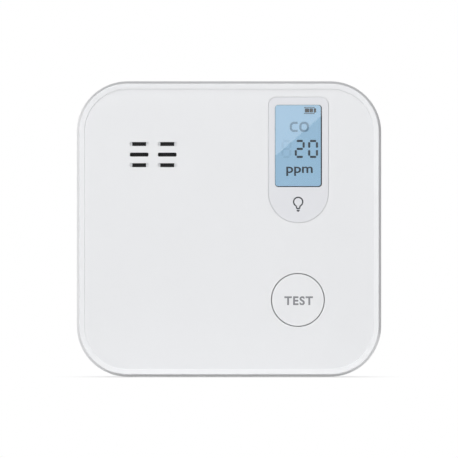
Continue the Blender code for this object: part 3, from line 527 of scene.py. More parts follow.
def moulded_plastic(node, shader, place, shade, roughness, grain, relief, flow=0.985):
    """Injection-moulded plastic: a spark-eroded tool leaves a fine satin grain, and the melt's flow
    leaves clouds of tone that the eye reads as depth rather than as colour. The grain is drawn coarser
    than the real one, so that it shows."""
    clouds = node("TexNoise", {"Vector": place, "Scale": 1 / (14 * MM), "Detail": 3})
    patterned(node, shader, clouds, (darker(shade, flow), shade))
    grains = node("TexNoise", {"Vector": place, "Scale": 1 / grain})
    polish = node("MapRange", [grains, 0, 1, roughness - 0.05, roughness + 0.05])
    bump = node("Bump", {"Strength": 0.5, "Distance": relief, "Height": grains})
    feed(shader, {"IOR": 1.54, "Roughness": polish, "Normal": bump})


def white_abs_moulded(node, shader, place):
    """White ABS, moulded in a spark-eroded tool: satin, so lamps show as soft glows, not as shapes.
    The rim is coloured a paler white than the face round it: a painted highlight for the brighter light
    along the rim."""
    colours = bpy.context.scene.alarm_finish
    moulded_plastic(node, shader, place, colours.white, 0.42, 0.4 * MM, 0.004 * MM)
    tone = shader.inputs["Base Color"].links[0].from_socket
    # Painted highlight: what stands forward of the face, which is the rim, takes the paler rim white
    depth = node("SeparateXYZ", {"Vector": place}).outputs["Y"]
    face = node("MapRange", [depth, FACE - 0.2 * MM, FACE - 0.05 * MM])
    patterned(node, shader, face, (colours.rim, tone))


def panel_abs_moulded(node, shader, place):
    """Light grey ABS from a finer tool: a little smoother and darker than the cover round it."""
    shade = bpy.context.scene.alarm_finish.panel
    moulded_plastic(node, shader, place, shade, 0.34, 0.3 * MM, 0.002 * MM)


def black_plastic_moulded(node, shader, place):
    """Black glass-filled plastic: dull, with the grey bloom of fibres close under the skin."""
    moulded_plastic(node, shader, place, linear("#17181A"), 0.55, 0.5 * MM, 0.01 * MM, 0.7)


def milky_polycarbonate_moulded(node, shader, place):
    """Milky polycarbonate of the backlight: it scatters light, so it looks bright and soft."""
    moulded_plastic(node, shader, place, linear("#EDF2F4"), 0.5, 0.6 * MM, 0.003 * MM, 0.96)


def epoxy_seal_cured(node, shader, place):
    """Dark epoxy that seals the display's glass: near black and a little glossy."""
    moulded_plastic(node, shader, place, linear("#24282C"), 0.3, 0.8 * MM, 0.003 * MM, 0.8)


def clear_polycarbonate_moulded(node, shader, place):
    """Polished polycarbonate: clear and bright, with the faint waviness that moulding leaves in its
    reflections."""
    waves = node("TexNoise", {"Vector": place, "Scale": 1 / (9 * MM), "Detail": 0})
    bump = node("Bump", {"Strength": 0.15, "Distance": 0.002 * MM, "Height": waves})
    feed(shader, {"Base Color": linear("#FBFDFF"), "Roughness": 0.015, "IOR": 1.585})
    feed(shader, {"Transmission Weight": 1.0, "Normal": bump})


def polarising_film_laminated(node, shader, place):
    """Polarising film over the lit cell: an even pale blue that glows a little more towards the lamps
    in the backlight's lower edge, with the film's fine drawn lines."""
    shade = bpy.context.scene.alarm_finish.display
    height = node("SeparateXYZ", {"Vector": place}).outputs["Z"]
    rise = node("MapRange", [height, GLASS_LOW.z, GLASS_HIGH.z])
    stretch = node("Mapping", {"Vector": place, "Scale": (1, 1, 12)})
    lines = node("TexNoise", {"Vector": stretch, "Scale": 1 / (6 * MM), "Detail": 1})
    blend = node("Math", [lines, 0.25, rise], operation="MULTIPLY_ADD")
    patterned(node, shader, blend, (shade, darker(shade, 0.97)), socket="Emission Color")
    feed(shader, {"Base Color": linear("#20262B"), "Roughness": 0.12, "IOR": 1.5, "Emission Strength": 1.0})


def display_ink(node, shader, place, shade):
    """Liquid crystal that is switched on: it holds the backlight back, so it reads as a soft dark tone."""
    spread = node("TexNoise", {"Vector": place, "Scale": 1 / (1.5 * MM), "Detail": 1})
    patterned(node, shader, spread, (darker(shade, 0.92), shade), socket="Emission Color")
    feed(shader, {"Base Color": linear("#101214"), "Roughness": 0.35, "Emission Strength": 1.0})


def printed_ink(node, shader, place, shade):
    """Pad-printed ink: flat and matt, slightly uneven where the pad let go."""
    film = node("TexNoise", {"Vector": place, "Scale": 1 / (0.5 * MM)})
    patterned(node, shader, film, (darker(shade, 0.94), shade))
    feed(shader, {"Roughness": 0.6, "IOR": 1.5})


def drawn_metal(node, shader, place, shade, roughness, streak, mark=0.9):
    """Sheet or wire worked cold and plated: bright, with streaks along the way it was drawn and a
    cloudy change of polish where it was handled."""
    stretch = node("Mapping", {"Vector": place, "Scale": streak})
    lines = node("TexNoise", {"Vector": stretch, "Scale": 1 / (1.2 * MM), "Detail": 3})
    patterned(node, shader, lines, (darker(shade, mark), shade), 0.3, 0.003 * MM)
    polish = node("MapRange", [lines, 0, 1, roughness - 0.08, roughness + 0.12])
    feed(shader, {"Metallic": 1.0, "Roughness": polish})


def zinc_plated_steel_headed(node, shader, place):
    """Zinc-plated steel screws: cool grey, mottled by the passivation."""
    drawn_metal(node, shader, place, linear("#C9CBCD"), 0.3, (1, 1, 1))


def nickel_plated_steel_stamped(node, shader, place):
    """Nickel-plated spring steel, stamped from strip: warm grey with fine lines across the part."""
    drawn_metal(node, shader, place, linear("#CFC9BE"), 0.26, (1, 1, 8))


def stainless_steel_drawn(node, shader, place):
    """Stainless steel drawn into a can: cool and bright, with fine rings."""
    drawn_metal(node, shader, place, linear("#C4C6C8"), 0.28, (1, 9, 1))


def brass_rolled(node, shader, place):
    """Rolled brass disc: yellow, with long rolling lines and faint tarnish."""
    drawn_metal(node, shader, place, linear("#D9B86A"), 0.32, (9, 1, 1), 0.8)


def enamelled_copper_wound(node, shader, place):
    """Enamelled copper wire, wound in layers: dark orange, ribbed by the turns, which are drawn thicker
    than the real ones, so that they show."""
    waves = {"Vector": place, "Scale": WAVE / (0.592 * MM), "Distortion": 0.2}
    turns = node("TexWave", waves, bands_direction="Y").outputs["Fac"]
    # Painted highlight and shade: each turn is coloured paler on its crest and darker in the groove beside
    # it
    patterned(node, shader, turns, (linear("#6B2F14"), linear("#C87443")), 0.8, 0.05 * MM)
    feed(shader, {"Metallic": 1.0, "Roughness": 0.35, "Coat Weight": 0.6})


def glass_epoxy_laminated(node, shader, place):
    """Glass-epoxy board under green solder mask: the weave shows as a faint grid, and copper tracks
    lift the mask in lighter lines."""
    axes = node("SeparateXYZ", {"Vector": place}).outputs
    flat = node("CombineXYZ", {"X": axes["X"], "Y": axes["Z"]})
    greens = {"Color1": linear("#0E4A28"), "Color2": linear("#115430"), "Mortar": linear("#1F7A45")}
    bricks = {"Vector": flat, "Scale": 1 / (9 * MM), "Mortar Size": 0.05}
    tracks = node("TexBrick", {**bricks, **greens})
    weave = node("TexChecker", {"Vector": flat, "Scale": 1 / (0.6 * MM)}).outputs["Fac"]
    bump = node("Bump", {"Strength": 0.4, "Distance": 0.01 * MM, "Height": weave})
    feed(shader, {"Roughness": 0.3, "IOR": 1.55, "Base Color": tracks, "Normal": bump})


def conductive_silicone_layered(node, shader, place):
    """Layered conductive silicone: thin black and grey layers in turn, dull and rubbery. The layers are
    drawn thicker than the real ones, so that they show."""
    waves = {"Vector": place, "Scale": WAVE / (0.987 * MM)}
    layers = node("TexWave", waves, wave_profile="SAW").outputs["Fac"]
    patterned(node, shader, layers, (linear("#1C1A1E"), linear("#6E6A70")))
    feed(shader, {"Roughness": 0.75, "IOR": 1.41})


def piezo_ceramic_fired(node, shader, place):
    """Lead zirconate titanate, fired and silvered: chalky cream with a grey electrode bloom."""
    bloom = node("TexNoise", {"Vector": place, "Scale": 1 / (3 * MM), "Detail": 4})
    patterned(node, shader, bloom, (linear("#B9B6AC"), linear("#E2DED2")))
    feed(shader, {"Roughness": 0.55, "IOR": 1.9})


def polyurethane_foam_cut(node, shader, place):
    """Open-cell polyurethane foam: near black, pitted by its cells."""
    cells = node("TexVoronoi", {"Vector": place, "Scale": 1 / (0.5 * MM)})
    # Painted shade: each cell's pit is coloured darker than the ridges round it
    patterned(node, shader, cells, (linear("#0C0C0E"), linear("#35363A")), 1.0, 0.1 * MM)
    feed(shader, {"Roughness": 0.95, "IOR": 1.45})


def polyester_gauze_woven(node, shader, place):
    """Black polyester gauze: crossing threads, with the holes between them coloured near black as painted
    shade.
    The threads are drawn thicker than the real ones, so that they show."""
    waves = {"Vector": place, "Scale": WAVE / (0.69 * MM)}
    threads = [node("TexWave", waves, bands_direction=way).outputs["Fac"] for way in "XZ"]
    crossing = node("Math", threads, operation="MAXIMUM")
    # Painted shade: the holes between the threads take the near-black colour
    patterned(node, shader, crossing, (linear("#040405"), linear("#1F2022")), 1.0, 0.08 * MM)
    feed(shader, {"Roughness": 0.7, "IOR": 1.5})


def shrunk_sleeve(node, shader, place, body, band, low, high):
    """Printed PVC film shrunk on to a can: glossy, with one plain band of a second colour."""
    along = node("SeparateXYZ", {"Vector": place}).outputs["X"]
    above = node("Math", [along, low], operation="GREATER_THAN")
    below = node("Math", [along, high], operation="LESS_THAN")
    inside = node("Math", [above, below], operation="MULTIPLY")
    patterned(node, shader, inside, (body, band))
    film = node("TexNoise", {"Vector": place, "Scale": 1 / (4 * MM), "Detail": 1})
    bump = node("Bump", {"Strength": 0.3, "Distance": 0.02 * MM, "Height": film})
    feed(shader, {"Roughness": 0.22, "IOR": 1.53, "Coat Weight": 0.3, "Normal": bump})


def lamp_epoxy(node, shader, place, shade):
    """Cast epoxy of a small lamp: clear colour with a darker chip showing through."""
    depth = node("TexNoise", {"Vector": place, "Scale": 1 / (0.8 * MM)})
    patterned(node, shader, depth, (darker(shade, 0.6), shade))
    feed(shader, {"Roughness": 0.2, "IOR": 1.52, "Coat Weight": 0.5})


def white_when_seen(node, plain, white, share=1.0):
    """Mixes a shader with white: all white in mirrors and through glass, and by a share to the camera."""
    rays = node("LightPath", {}).outputs
    seen = node("Math", [rays["Is Camera Ray"], share], operation="MULTIPLY")
    mirrored = node("Math", [rays["Is Glossy Ray"], rays["Is Transmission Ray"]], operation="MAXIMUM")
    return node("MixShader", [node("Math", [seen, mirrored], operation="MAXIMUM"), plain, white])


def studio_paper_matt(node, shader, place):
    """Pale paper: matt beside the alarm, where it takes the shadow, and plain white further out."""
    # How far a place on it lies outside the alarm's outline, drawn in by 20 mm at the sides
    low, high = Vector(CAD_BOX[0]), Vector(CAD_BOX[1])
    inward = Vector((0.02, 0, -1))
    above = node("VectorMath", [place, low + inward], operation="MAXIMUM")
    beside = node("VectorMath", [above, high - inward], operation="MINIMUM")
    reach = node("VectorMath", [place, beside], operation="DISTANCE").outputs["Value"]
    far = node("MapRange", [reach, 0, 0.03, 0.6, 1], interpolation_type="SMOOTHSTEP")
    white = node("Emission", {"Color": WHITE, "Strength": 1.0})
    paper = bpy.context.scene.alarm_studio.floor
    feed(shader, {"Base Color": paper, "Roughness": 0.9, "Specular IOR Level": 0.1})
    output = shader.id_data.nodes["Material Output"]
    feed(output, {"Surface": white_when_seen(node, shader, white, far)})


def black_card_matt(node, shader, place):
    """Matt black card, which reflects next to nothing."""
    feed(shader, {"Base Color": linear("#050505"), "Roughness": 1.0})


def dress(material, *names):
    """Gives carried-over CAD nodes their finish."""
    for name in names:
        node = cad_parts[name]
        if not node.material_slots:
            node.data.materials.append(material)
        for slot in node.material_slots:
            slot.material = material


# ---------------------------------------------------------------- shapes


def housing_block(low, high, inset, corner):
    """The housing's outline, a set distance inside its outer wall, between two planes."""
    ends = corners(0, 0, HALF_WIDTH - inset, HALF_HEIGHT - inset, low, high)
    return rounded_box(*ends, corner - inset, CORNER_STEPS)


def rim_section(sizes):
    """The rim: rounded outer edge, crest, rounded inner edge, then the cove up to the face."""
    radius, inner = sizes.rim_round, sizes.rim_inner_round
    points = [(radius - c, s) for s, c in quarter(radius, 8)]
    crest_end = sizes.rim_width - inner
    crest = radius - sizes.rim_fall
    points += [(crest_end, crest)]
    points += [(crest_end + s, crest - inner + c) for s, c in quarter(inner, 4)]
    face = radius - (FACE - CREST)
    foot = sizes.rim_width + 0.05 * MM
    points += [(foot, face - sizes.cove_depth)]
    stations = [i / 8 for i in range(1, 9)]
    points += [(foot + sizes.cove_width * t, face - sizes.cove_depth * (1 - t) ** 2) for t in stations]
    return points


def tongue(grow, low, high, shoulder):
    """The display panel's outline: square shoulders above, half-round foot below."""
    half, middle = PANEL_HALF + grow, (PANEL_TOP + PANEL_FOOT) / 2
    bm = boxes(corners(PANEL_X, middle, half, PANEL_TOP + grow - middle, low, high))
    edges = along_y(bm.edges)
    shoulders = [edge for edge in edges if edge.verts[0].co.z > middle]
    foot = [edge for edge in edges if edge not in shoulders]
    round_off(bm, shoulders, shoulder + grow, 12)
    # The foot's two corners all but meet, and are merged there
    round_off(bm, foot, half - 0.005 * MM, 36)
    bmesh.ops.remove_doubles(bm, verts=bm.verts, dist=0.02 * MM)
    return bm


def opening_box(sizes, lap, low, high, corner):
    """A block behind the display opening, larger than it by lap on each side."""
    half_x, half_z = sizes.opening_width / 2 + lap, sizes.opening_height / 2 + lap
    return rounded_box(*corners(PANEL_X, WINDOW_UP, half_x, half_z, low, high), corner)


def vent_slots(sizes):
    """Slots with softly rounded mouths, which stop just short of the face's back."""
    lip, depth, corner = sizes.slot_lip, 1.1 * MM, 0.55 * MM
    halves = (sizes.slot_width / 2 + lip, sizes.slot_height / 2 + lip)
    places = [(x, up) for x in PORT_XS for up in SLOT_UPS]
    slots = [rounded_box(*corners(*place, *halves, FACE - CLEAR, FACE), corner) for place in places]
    return gathered(*[lipped(slot, lip, depth - lip) for slot in slots])


def button_hole(sizes):
    """The test button's hole, with a softly rounded mouth."""
    lip = 0.07 * MM
    bm = rods([BUTTON], sizes.radius + sizes.gap + lip, FACE - CLEAR, FACE, SPIN_STEPS)
    return lipped(bm, lip, COLLAR_END + CLEAR - FACE)


def rib_reach(half_size, half_across, boss, corner):
    """How far out a rib meets the rounded corner's wall, level with a screw boss."""
    off = boss - (half_across - corner)
    return half_size - corner + math.sqrt((corner - WALL) ** 2 - off**2) + OVERLAP


def boss_ribs(sizes):
    """Two thin ribs tie each screw boss to the walls beside it."""
    half, boss, root, top = 0.6 * MM, 3.1 * MM, FACE_BACK - OVERLAP, -11.5 * MM
    reach_x = rib_reach(HALF_WIDTH, HALF_HEIGHT, SCREW_UP, sizes.corner)
    reach_up = rib_reach(HALF_HEIGHT, HALF_WIDTH, SCREW_X, sizes.corner)
    ribs = []
    for x, up in SCREW_PLACES:
        ends = sorted(math.copysign(reach, x) for reach in (SCREW_X + boss, reach_x))
        ribs.append(((ends[0], root, up - half), (ends[1], top, up + half)))
        ends = sorted(math.copysign(reach, up) for reach in (SCREW_UP + boss, reach_up))
        ribs.append(((x - half, root, ends[0]), (x + half, top, ends[1])))
    return boxes(*ribs)


def sound_ports(half_x, half_z):
    """A port behind each column of slots, cut from the back until it meets them."""
    low, high = FACE + 0.95 * MM, FACE_BACK + CLEAR
    return boxes(*[corners(x, SOUNDER_UP, half_x, half_z, low, high) for x in PORT_XS])


def front_cavity(sizes):
    """The hollow behind the face: its walls are upright round the rear cover's lip, then draw in too."""
    drawn_start = COVER_END - 3 * MM
    bm = housing_block(drawn_start, COVER_END + CLEAR, WALL, sizes.corner)
    return stepped(bm, (0, -1, 0), [(sizes.draft, drawn_start - FACE_BACK)])


# ---------------------------------------------------------------- operators


class ALARM_OT_front_cover(bpy.types.Operator):
    """Moulds the front cover: raised rim, cove, vent slots, sound ports, panel pocket and button hole"""

    bl_idname = "alarm.front_cover"
    bl_label = "Front cover"

    def execute(self, context):
        sizes = context.scene.alarm_housing
        display = context.scene.alarm_display
        root, edge = FACE_BACK - OVERLAP, 0.2 * MM
        wall_start = COVER_END - 1.2 * MM
        wall_height = wall_start - CREST - sizes.rim_round
        section = [(sizes.draft, wall_height)]
        section += [(sizes.draft + inward, wall_height + level) for inward, level in rim_section(sizes)]
        bm = stepped(housing_block(wall_start, COVER_END - edge, 0, sizes.corner), (0, -1, 0), section)
        through = (BEZEL_BACK - OVERLAP, PAD_BACK + CLEAR)
        lap, corner, pipe_radius = 1.3 * MM, 1.5 * MM, 1.9 * MM
        openings = opening_box(display, lap, *through, corner)
        pipe_hole = rods([(PANEL_X, INDICATOR_UP)], pipe_radius, *through)
        pad = ((11.4 * MM, root, 0.6 * MM), (34.6 * MM, PAD_BACK, HALF_HEIGHT - WALL))
        middle_port = (sizes.slot_width / 2 + 0.2 * MM, sizes.slot_height / 2 + 0.2 * MM)
        boss_radius, post_radius, collar_radius = 3.5 * MM, 3 * MM, FLANGE + 0.6 * MM
        case_pilot, case_pilot_foot = 1.6 * MM, -20 * MM
        board_pilot, board_pilot_foot = 1.5 * MM, -31 * MM
        cover = carved(
            edged(bm, (0, 1, 0), edge),
            ("DIFFERENCE", front_cavity(sizes)),
            ("UNION", rods(SCREW_PLACES, boss_radius, root, COVER_END)),
            ("UNION", boss_ribs(sizes)),
            ("UNION", rods(POST_PLACES, post_radius, root, BOARD_TOP)),
            ("UNION", rods([BUTTON], collar_radius, root, COLLAR_END, 64)),
            ("UNION", boxes(pad)),
            ("DIFFERENCE", tongue(sizes.seam, FACE - CLEAR, BEZEL_BACK + SEAT_GAP, display.shoulder)),
            ("DIFFERENCE", gathered(openings, pipe_hole)),
            ("DIFFERENCE", button_hole(context.scene.alarm_button)),
            ("DIFFERENCE", vent_slots(sizes)),
            ("DIFFERENCE", sound_ports(sizes.port_width / 2, sizes.port_height / 2)),
            ("DIFFERENCE", sound_ports(*middle_port)),
            ("DIFFERENCE", rods(SCREW_PLACES, case_pilot, case_pilot_foot, COVER_END + CLEAR)),
            ("DIFFERENCE", rods(POST_PLACES, board_pilot, board_pilot_foot, BOARD_TOP + CLEAR)),
        )
        soften(settle("front_cover_shell", cover, finish(white_abs_moulded), "white_abs", "front_cover"))
        return {"FINISHED"}


class ALARM_OT_rear_mouldings(bpy.types.Operator):
    """Breaks the edges of the rear cover, the wall bracket and the battery door"""

    bl_idname = "alarm.rear_mouldings"
    bl_label = "Rear cover, bracket and door"

    def execute(self, context):
        width = context.scene.alarm_housing.edge_break
        white = finish(white_abs_moulded)
        for node, body in (("rear_cover", "alarm"), ("wall_bracket", "bracket"), ("battery_door", "door")):
            shell = settle(f"{node}_shell", merged_copy(node), white, "white_abs", node, body=body)
            soften(shell, width)
        return {"FINISHED"}


class ALARM_OT_display_bezel(bpy.types.Operator):
    """Moulds the display panel with its bevelled opening, and prints the lamp icon on it"""

    bl_idname = "alarm.display_bezel"
    bl_label = "Display panel"

    def execute(self, context):
        sizes = context.scene.alarm_display
        edge, bevel = 0.07 * MM, sizes.bevel
        bm = edged(tongue(0, FACE + edge, BEZEL_BACK, sizes.shoulder), (0, -1, 0), edge)
        opening = opening_box(sizes, bevel, FACE - CLEAR, FACE, sizes.opening_corner + bevel)
        stepped(opening, (0, 1, 0), [(bevel, bevel), (bevel, bevel + CLEAR)])
        bezel = carved(bm, ("DIFFERENCE", opening))
        grey = finish(panel_abs_moulded)
        soften(settle("display_bezel_shell", bezel, grey, "panel_abs", "display_bezel"))
        ink = finish(printed_ink, context.scene.alarm_finish.print_dark, name="icon_ink_pad_printed")
        settle("lamp_icon", self.lamp_icon(), ink, "panel_abs")
        return {"FINISHED"}

    def lamp_icon(self):
        """A lamp bulb in outline: round glass, a short neck that narrows, and a dark cap below it."""
        x, up, radius, line = PANEL_X - 0.1 * MM, INDICATOR_UP + 0.69 * MM, 1.5 * MM, 0.46 * MM
        neck, neck_up, foot, foot_up = 0.62 * MM, up - 1.47 * MM, 0.46 * MM, up - 2.22 * MM
        bottom = [(x - foot, foot_up), (x + foot, foot_up)]
        outline = bottom[:1] + [(x - neck, neck_up)] + arc_points(x, up, radius, 232, -52, 40)
        outline += [(x + neck, neck_up)] + bottom[1:]
        cap = [(0.5 * MM, up - 2.87 * MM), (0.22 * MM, up - 3.07 * MM)]
        bars = [stroke([(x - half, level), (x + half, level)], 0.44 * MM, FACE) for half, level in cap]
        return gathered(stroke(outline, line, FACE), stroke(bottom, line, FACE), *bars)


class ALARM_OT_display(bpy.types.Operator):
    """Builds the display's lens, its glass, the lit film and what it shows"""

    bl_idname = "alarm.display"
    bl_label = "Display"

    def execute(self, context):
        broken = (0.08 * MM, 2)
        lens = rounded_box(LENS_LOW - CENTRE, LENS_HIGH - CENTRE, 1.2 * MM)
        round_off(lens, [e for e in lens.edges if abs(e.calc_face_angle(0)) > 1.2], *broken)
        clear = finish(clear_polycarbonate_moulded)
        soften(settle("display_lens", lens, clear, "clear_lens", "display_window"))
        low, high = GLASS_LOW - CENTRE, GLASS_HIGH - CENTRE
        front, middle, ledge = low.y, (low.y + high.y) / 2, 2.3 * MM
        glass = bmesh.new()
        upper = ((low.x, front + 0.1 * MM, low.z), (high.x, middle, high.z - ledge))
        for ends in (upper, ((low.x, middle, low.z), high)):
            round_off(glass, box_edges(glass, *ends), *broken)
        settle("display_glass", glass, finish(epoxy_seal_cured), "display_glass", "lcd_panel")
        # Painted shade: the film stops short at the right and foot, so dark glass shows there as a shadow
        # line
        left, right = PANEL_X - 7.66 * MM, PANEL_X + 7.42 * MM
        foot, top = WINDOW_UP - 13.3 * MM, WINDOW_UP + 13.53 * MM
        film = rounded_box((left, front, foot), (right, front + 0.12 * MM, top), 0.9 * MM)
        settle("display_film", film, finish(polarising_film_laminated), "display_glass")
        colours = context.scene.alarm_finish
        sizes = context.scene.alarm_display
        unlit = self.digit(sizes, 19.04 * MM, "abcdefg", front)
        for name, bm, ink, shade in (
            ("display_segments", self.segments(sizes, front), "on", colours.segment),
            ("display_battery", self.battery(front), "full", colours.battery),
            ("display_symbol", self.gas_symbol(front), "half_on", colours.faint),
            ("display_unlit_digit", unlit, "off", colours.ghost),
        ):
            settle(name, bm, finish(display_ink, shade, name=f"liquid_crystal_{ink}"), "display_glass")
        return {"FINISHED"}

    def digit(self, sizes, x, lit, front):
        """One seven-segment numeral; a is the top bar, then clockwise, and g is the middle bar."""
        half = sizes.digit_stroke / 2
        side, top = sizes.digit_width / 2 - half, sizes.digit_height / 2 - half
        bar, post = (1.02 * MM, half), (half, 0.93 * MM)
        places = {
            "a": (0, top, bar),
            "b": (side, top / 2, post),
            "c": (side, -top / 2, post),
            "d": (0, -top, bar),
            "e": (-side, -top / 2, post),
            "f": (-side, top / 2, post),
            "g": (0, 0, bar),
        }
        middle = WINDOW_UP - 0.97 * MM
        bars = []
        for offset, rise, halves in [places[name] for name in lit]:
            ends = corners(x + offset, middle + rise, *halves, front - 0.03 * MM, front + 0.01 * MM)
            bars.append(rounded_box(*ends, 0.24 * MM, 4))
        return gathered(*bars)

    def segments(self, sizes, front):
        """The numerals and the unit."""
        unit_x, unit_up = (18.96 * MM, 27.76 * MM), (17.6 * MM, 20.68 * MM)
        return gathered(
            self.digit(sizes, 23.44 * MM, "abged", front),
            self.digit(sizes, 27.85 * MM, "abcdef", front),
            lettering("ppm", unit_x, unit_up, front - 0.01 * MM, 0.018),
        )

    def battery(self, front):
        """The battery mark: two full bars and a nub in a case that is open at the left."""
        bars = []
        for start, end in ((25.13, 26.6), (26.74, 27.83), (28.2, 28.85)):
            low = (start * MM, front - 0.03 * MM, 38.6 * MM)
            bars.append(rounded_box(low, (end * MM, front + 0.01 * MM, 39.96 * MM), 0.08 * MM, 2))
        left, right, foot, top = 25 * MM, 28.2 * MM, 38.25 * MM, 40.3 * MM
        lip = 0.2 * MM
        case = [(left, foot + lip), (left, foot), (right, foot), (right, top), (left, top)]
        return gathered(*bars, stroke(case + [(left, top - lip)], 0.3 * MM, front))

    def gas_symbol(self, front):
        """The letters C and O, drawn in even strokes with square shoulders."""
        corner, line = 1.0 * MM, 0.72 * MM
        low, high = 32.5 * MM, 35.15 * MM

        def shouldered(left, right, start, end):
            left, right, foot, top = left + corner, right - corner, low + corner, high - corner
            turns = [(right, top, 0), (left, top, 90), (left, foot, 180), (right, foot, 270)][start:end]
            return [p for x, up, turn in turns for p in arc_points(x, up, corner, turn, turn + 90, 6)]

        left, right = 20.5 * MM, 22.75 * MM
        letter_c = [(right, high)] + shouldered(left, right, 1, 3) + [(right, low)]
        letter_o = shouldered(23.65 * MM, 26.15 * MM, 0, 4)
        return gathered(stroke(letter_c, line, front), stroke(letter_o, line, front, closed=True))


class ALARM_OT_test_button(bpy.types.Operator):
    """Turns the test button and prints its word"""

    bl_idname = "alarm.test_button"
    bl_label = "Test button"

    def execute(self, context):
        sizes = context.scene.alarm_button
        x, up = BUTTON
        radius, edge = sizes.radius, sizes.edge
        flange, flange_end = COLLAR_END + SEAT_GAP, COLLAR_END + SEAT_GAP + 1.2 * MM
        bore, inner_face = 7.5 * MM, -34.1 * MM
        stem, stem_end = 2 * MM, -29.4 * MM
        profile = [(0, FACE), (radius - edge, FACE)]
        profile += [(radius - edge + s, FACE + edge - c) for s, c in quarter(edge, 5)]
        profile += [(radius, flange), (FLANGE, flange), (FLANGE, flange_end), (bore, flange_end)]
        profile += [(bore, inner_face), (stem, inner_face), (stem, stem_end), (0, stem_end)]
        cap = moved(turned(profile), x, 0, up)
        white = finish(white_abs_moulded)
        soften(settle("test_button_cap", cap, white, "white_abs", "test_button", body="button"))
        half, half_up = 4.73 * MM, sizes.lettering / 2
        x, up = x + 0.28 * MM, up - 0.25 * MM
        word = lettering("TEST", (x - half, x + half), (up - half_up, up + half_up), FACE, 0.03, 1.16)
        ink = finish(printed_ink, context.scene.alarm_finish.print_grey, name="button_ink_pad_printed")
        settle("test_word", word, ink, "white_abs", body="button")
        return {"FINISHED"}


class ALARM_OT_screws(bpy.types.Operator):
    """Turns the screws: domed heads with the driver's cross cut in them, and threads on the shanks"""

    bl_idname = "alarm.screws"
    bl_label = "Screws"

    def execute(self, context):
        zinc = finish(zinc_plated_steel_headed)
        arm, arm_half = 1.5 * MM, 0.36 * MM
        kinds = (("case_screw", 4, 1.9 * MM, 1.3 * MM), ("board_screw", 3, 1.5 * MM, 1.2 * MM))
        for kind, count, head, shank in kinds:
            for node in [f"{kind}_{number}" for number in range(1, count + 1)]:
                low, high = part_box(node)
                halves = ((arm, arm_half), (arm_half, arm))
                cross = [("DIFFERENCE", self.blade(high.y, *half)) for half in halves]
                bm = carved(self.blank(low, high, head, shank), *cross)
                middle = (low + high) / 2 - CENTRE
                moved(bm, middle.x, 0, middle.z)
                soften(settle(f"{node}_turned", bm, zinc, "steel", node))
        return {"FINISHED"}

    def blank(self, low, high, head, shank):
        """A screw before its cross is cut, about the Y axis with its head at the back."""
        pitch, depth, corner, crown = 1.1 * MM, 0.28 * MM, 0.7 * MM, 0.2 * MM
        tip, runout = 1.2 * MM, 0.2 * MM
        seat, radius = high.y - head, (high.x - low.x) / 2
        profile = [(0, low.y), (0.3 * MM, low.y)]
        for turn in range(int((seat - low.y - 1.6 * MM) / pitch)):
            level = low.y + tip + turn * pitch
            profile += [(shank, level), (shank - depth, level + pitch / 2)]
        profile += [(shank, seat - runout), (shank, seat), (radius, seat)]
        flat, shoulder = radius - corner, high.y - crown - corner
        profile += [(flat + c, shoulder + s) for s, c in quarter(corner, 6)]
        profile += [(flat * (1 - t), high.y - crown * (1 - t) ** 2) for t in (0.2, 0.4, 0.6, 0.8, 1)]
        return turned(profile, 32)

    def blade(self, top, half_x, half_z):
        """A cutter for one arm of the cross, narrower toward the bottom."""
        bm = boxes(corners(0, 0, half_x, half_z, top - 1.1 * MM, top + CLEAR))
        foot = [vert for vert in bm.verts if vert.co.y < top]
        bmesh.ops.scale(bm, verts=foot, vec=(0.4, 1, 0.4))
        return bm


class ALARM_OT_carried_parts(bpy.types.Operator):
    """Gives the CAD's own parts behind the covers their finishes"""

    bl_idname = "alarm.carried_parts"
    bl_label = "Parts behind the covers"

    def execute(self, context):
        contacts = ("negative_terminal", "positive_terminal", "bridge_contact")
        springs = ("battery_spring_1", "battery_spring_2")
        black = ("tact_switch", "microcontroller", "sounder_housing")
        dress(finish(clear_polycarbonate_moulded), "light_pipe")
        dress(finish(milky_polycarbonate_moulded), "lcd_backlight", "lcd_holder")
        dress(finish(white_abs_moulded), "tact_plunger")
        dress(finish(black_plastic_moulded), *black)
        dress(finish(conductive_silicone_layered), "zebra_connector")
        dress(finish(glass_epoxy_laminated), "circuit_board")
        dress(finish(stainless_steel_drawn), "co_sensor")
        dress(finish(nickel_plated_steel_stamped), *contacts, *springs)
        dress(finish(brass_rolled), "piezo_disc")
        dress(finish(piezo_ceramic_fired), "piezo_ceramic")
        dress(finish(enamelled_copper_wound), "inductor")
        dress(finish(polyurethane_foam_cut), "sensor_gasket")
        dress(finish(polyester_gauze_woven), "dust_mesh")
        banded = (linear("#2C3A46"), linear("#B9C2C8"), -8 * MM, 8 * MM)
        cells = finish(shrunk_sleeve, *banded, name="cell_sleeve_shrunk")
        dress(cells, "battery_cell_1", "battery_cell_2")
        plain = (linear("#1B2431"), linear("#A8AEB4"), 0, 0)
        cans = finish(shrunk_sleeve, *plain, name="capacitor_sleeve_shrunk")
        dress(cans, "capacitor_1", "capacitor_2")
        for name, code in (("green", "#58B368"), ("amber", "#E59A35"), ("red", "#D9433B")):
            dress(finish(lamp_epoxy, linear(code), name=f"{name}_epoxy_cast"), f"status_led_{name}")
        return {"FINISHED"}


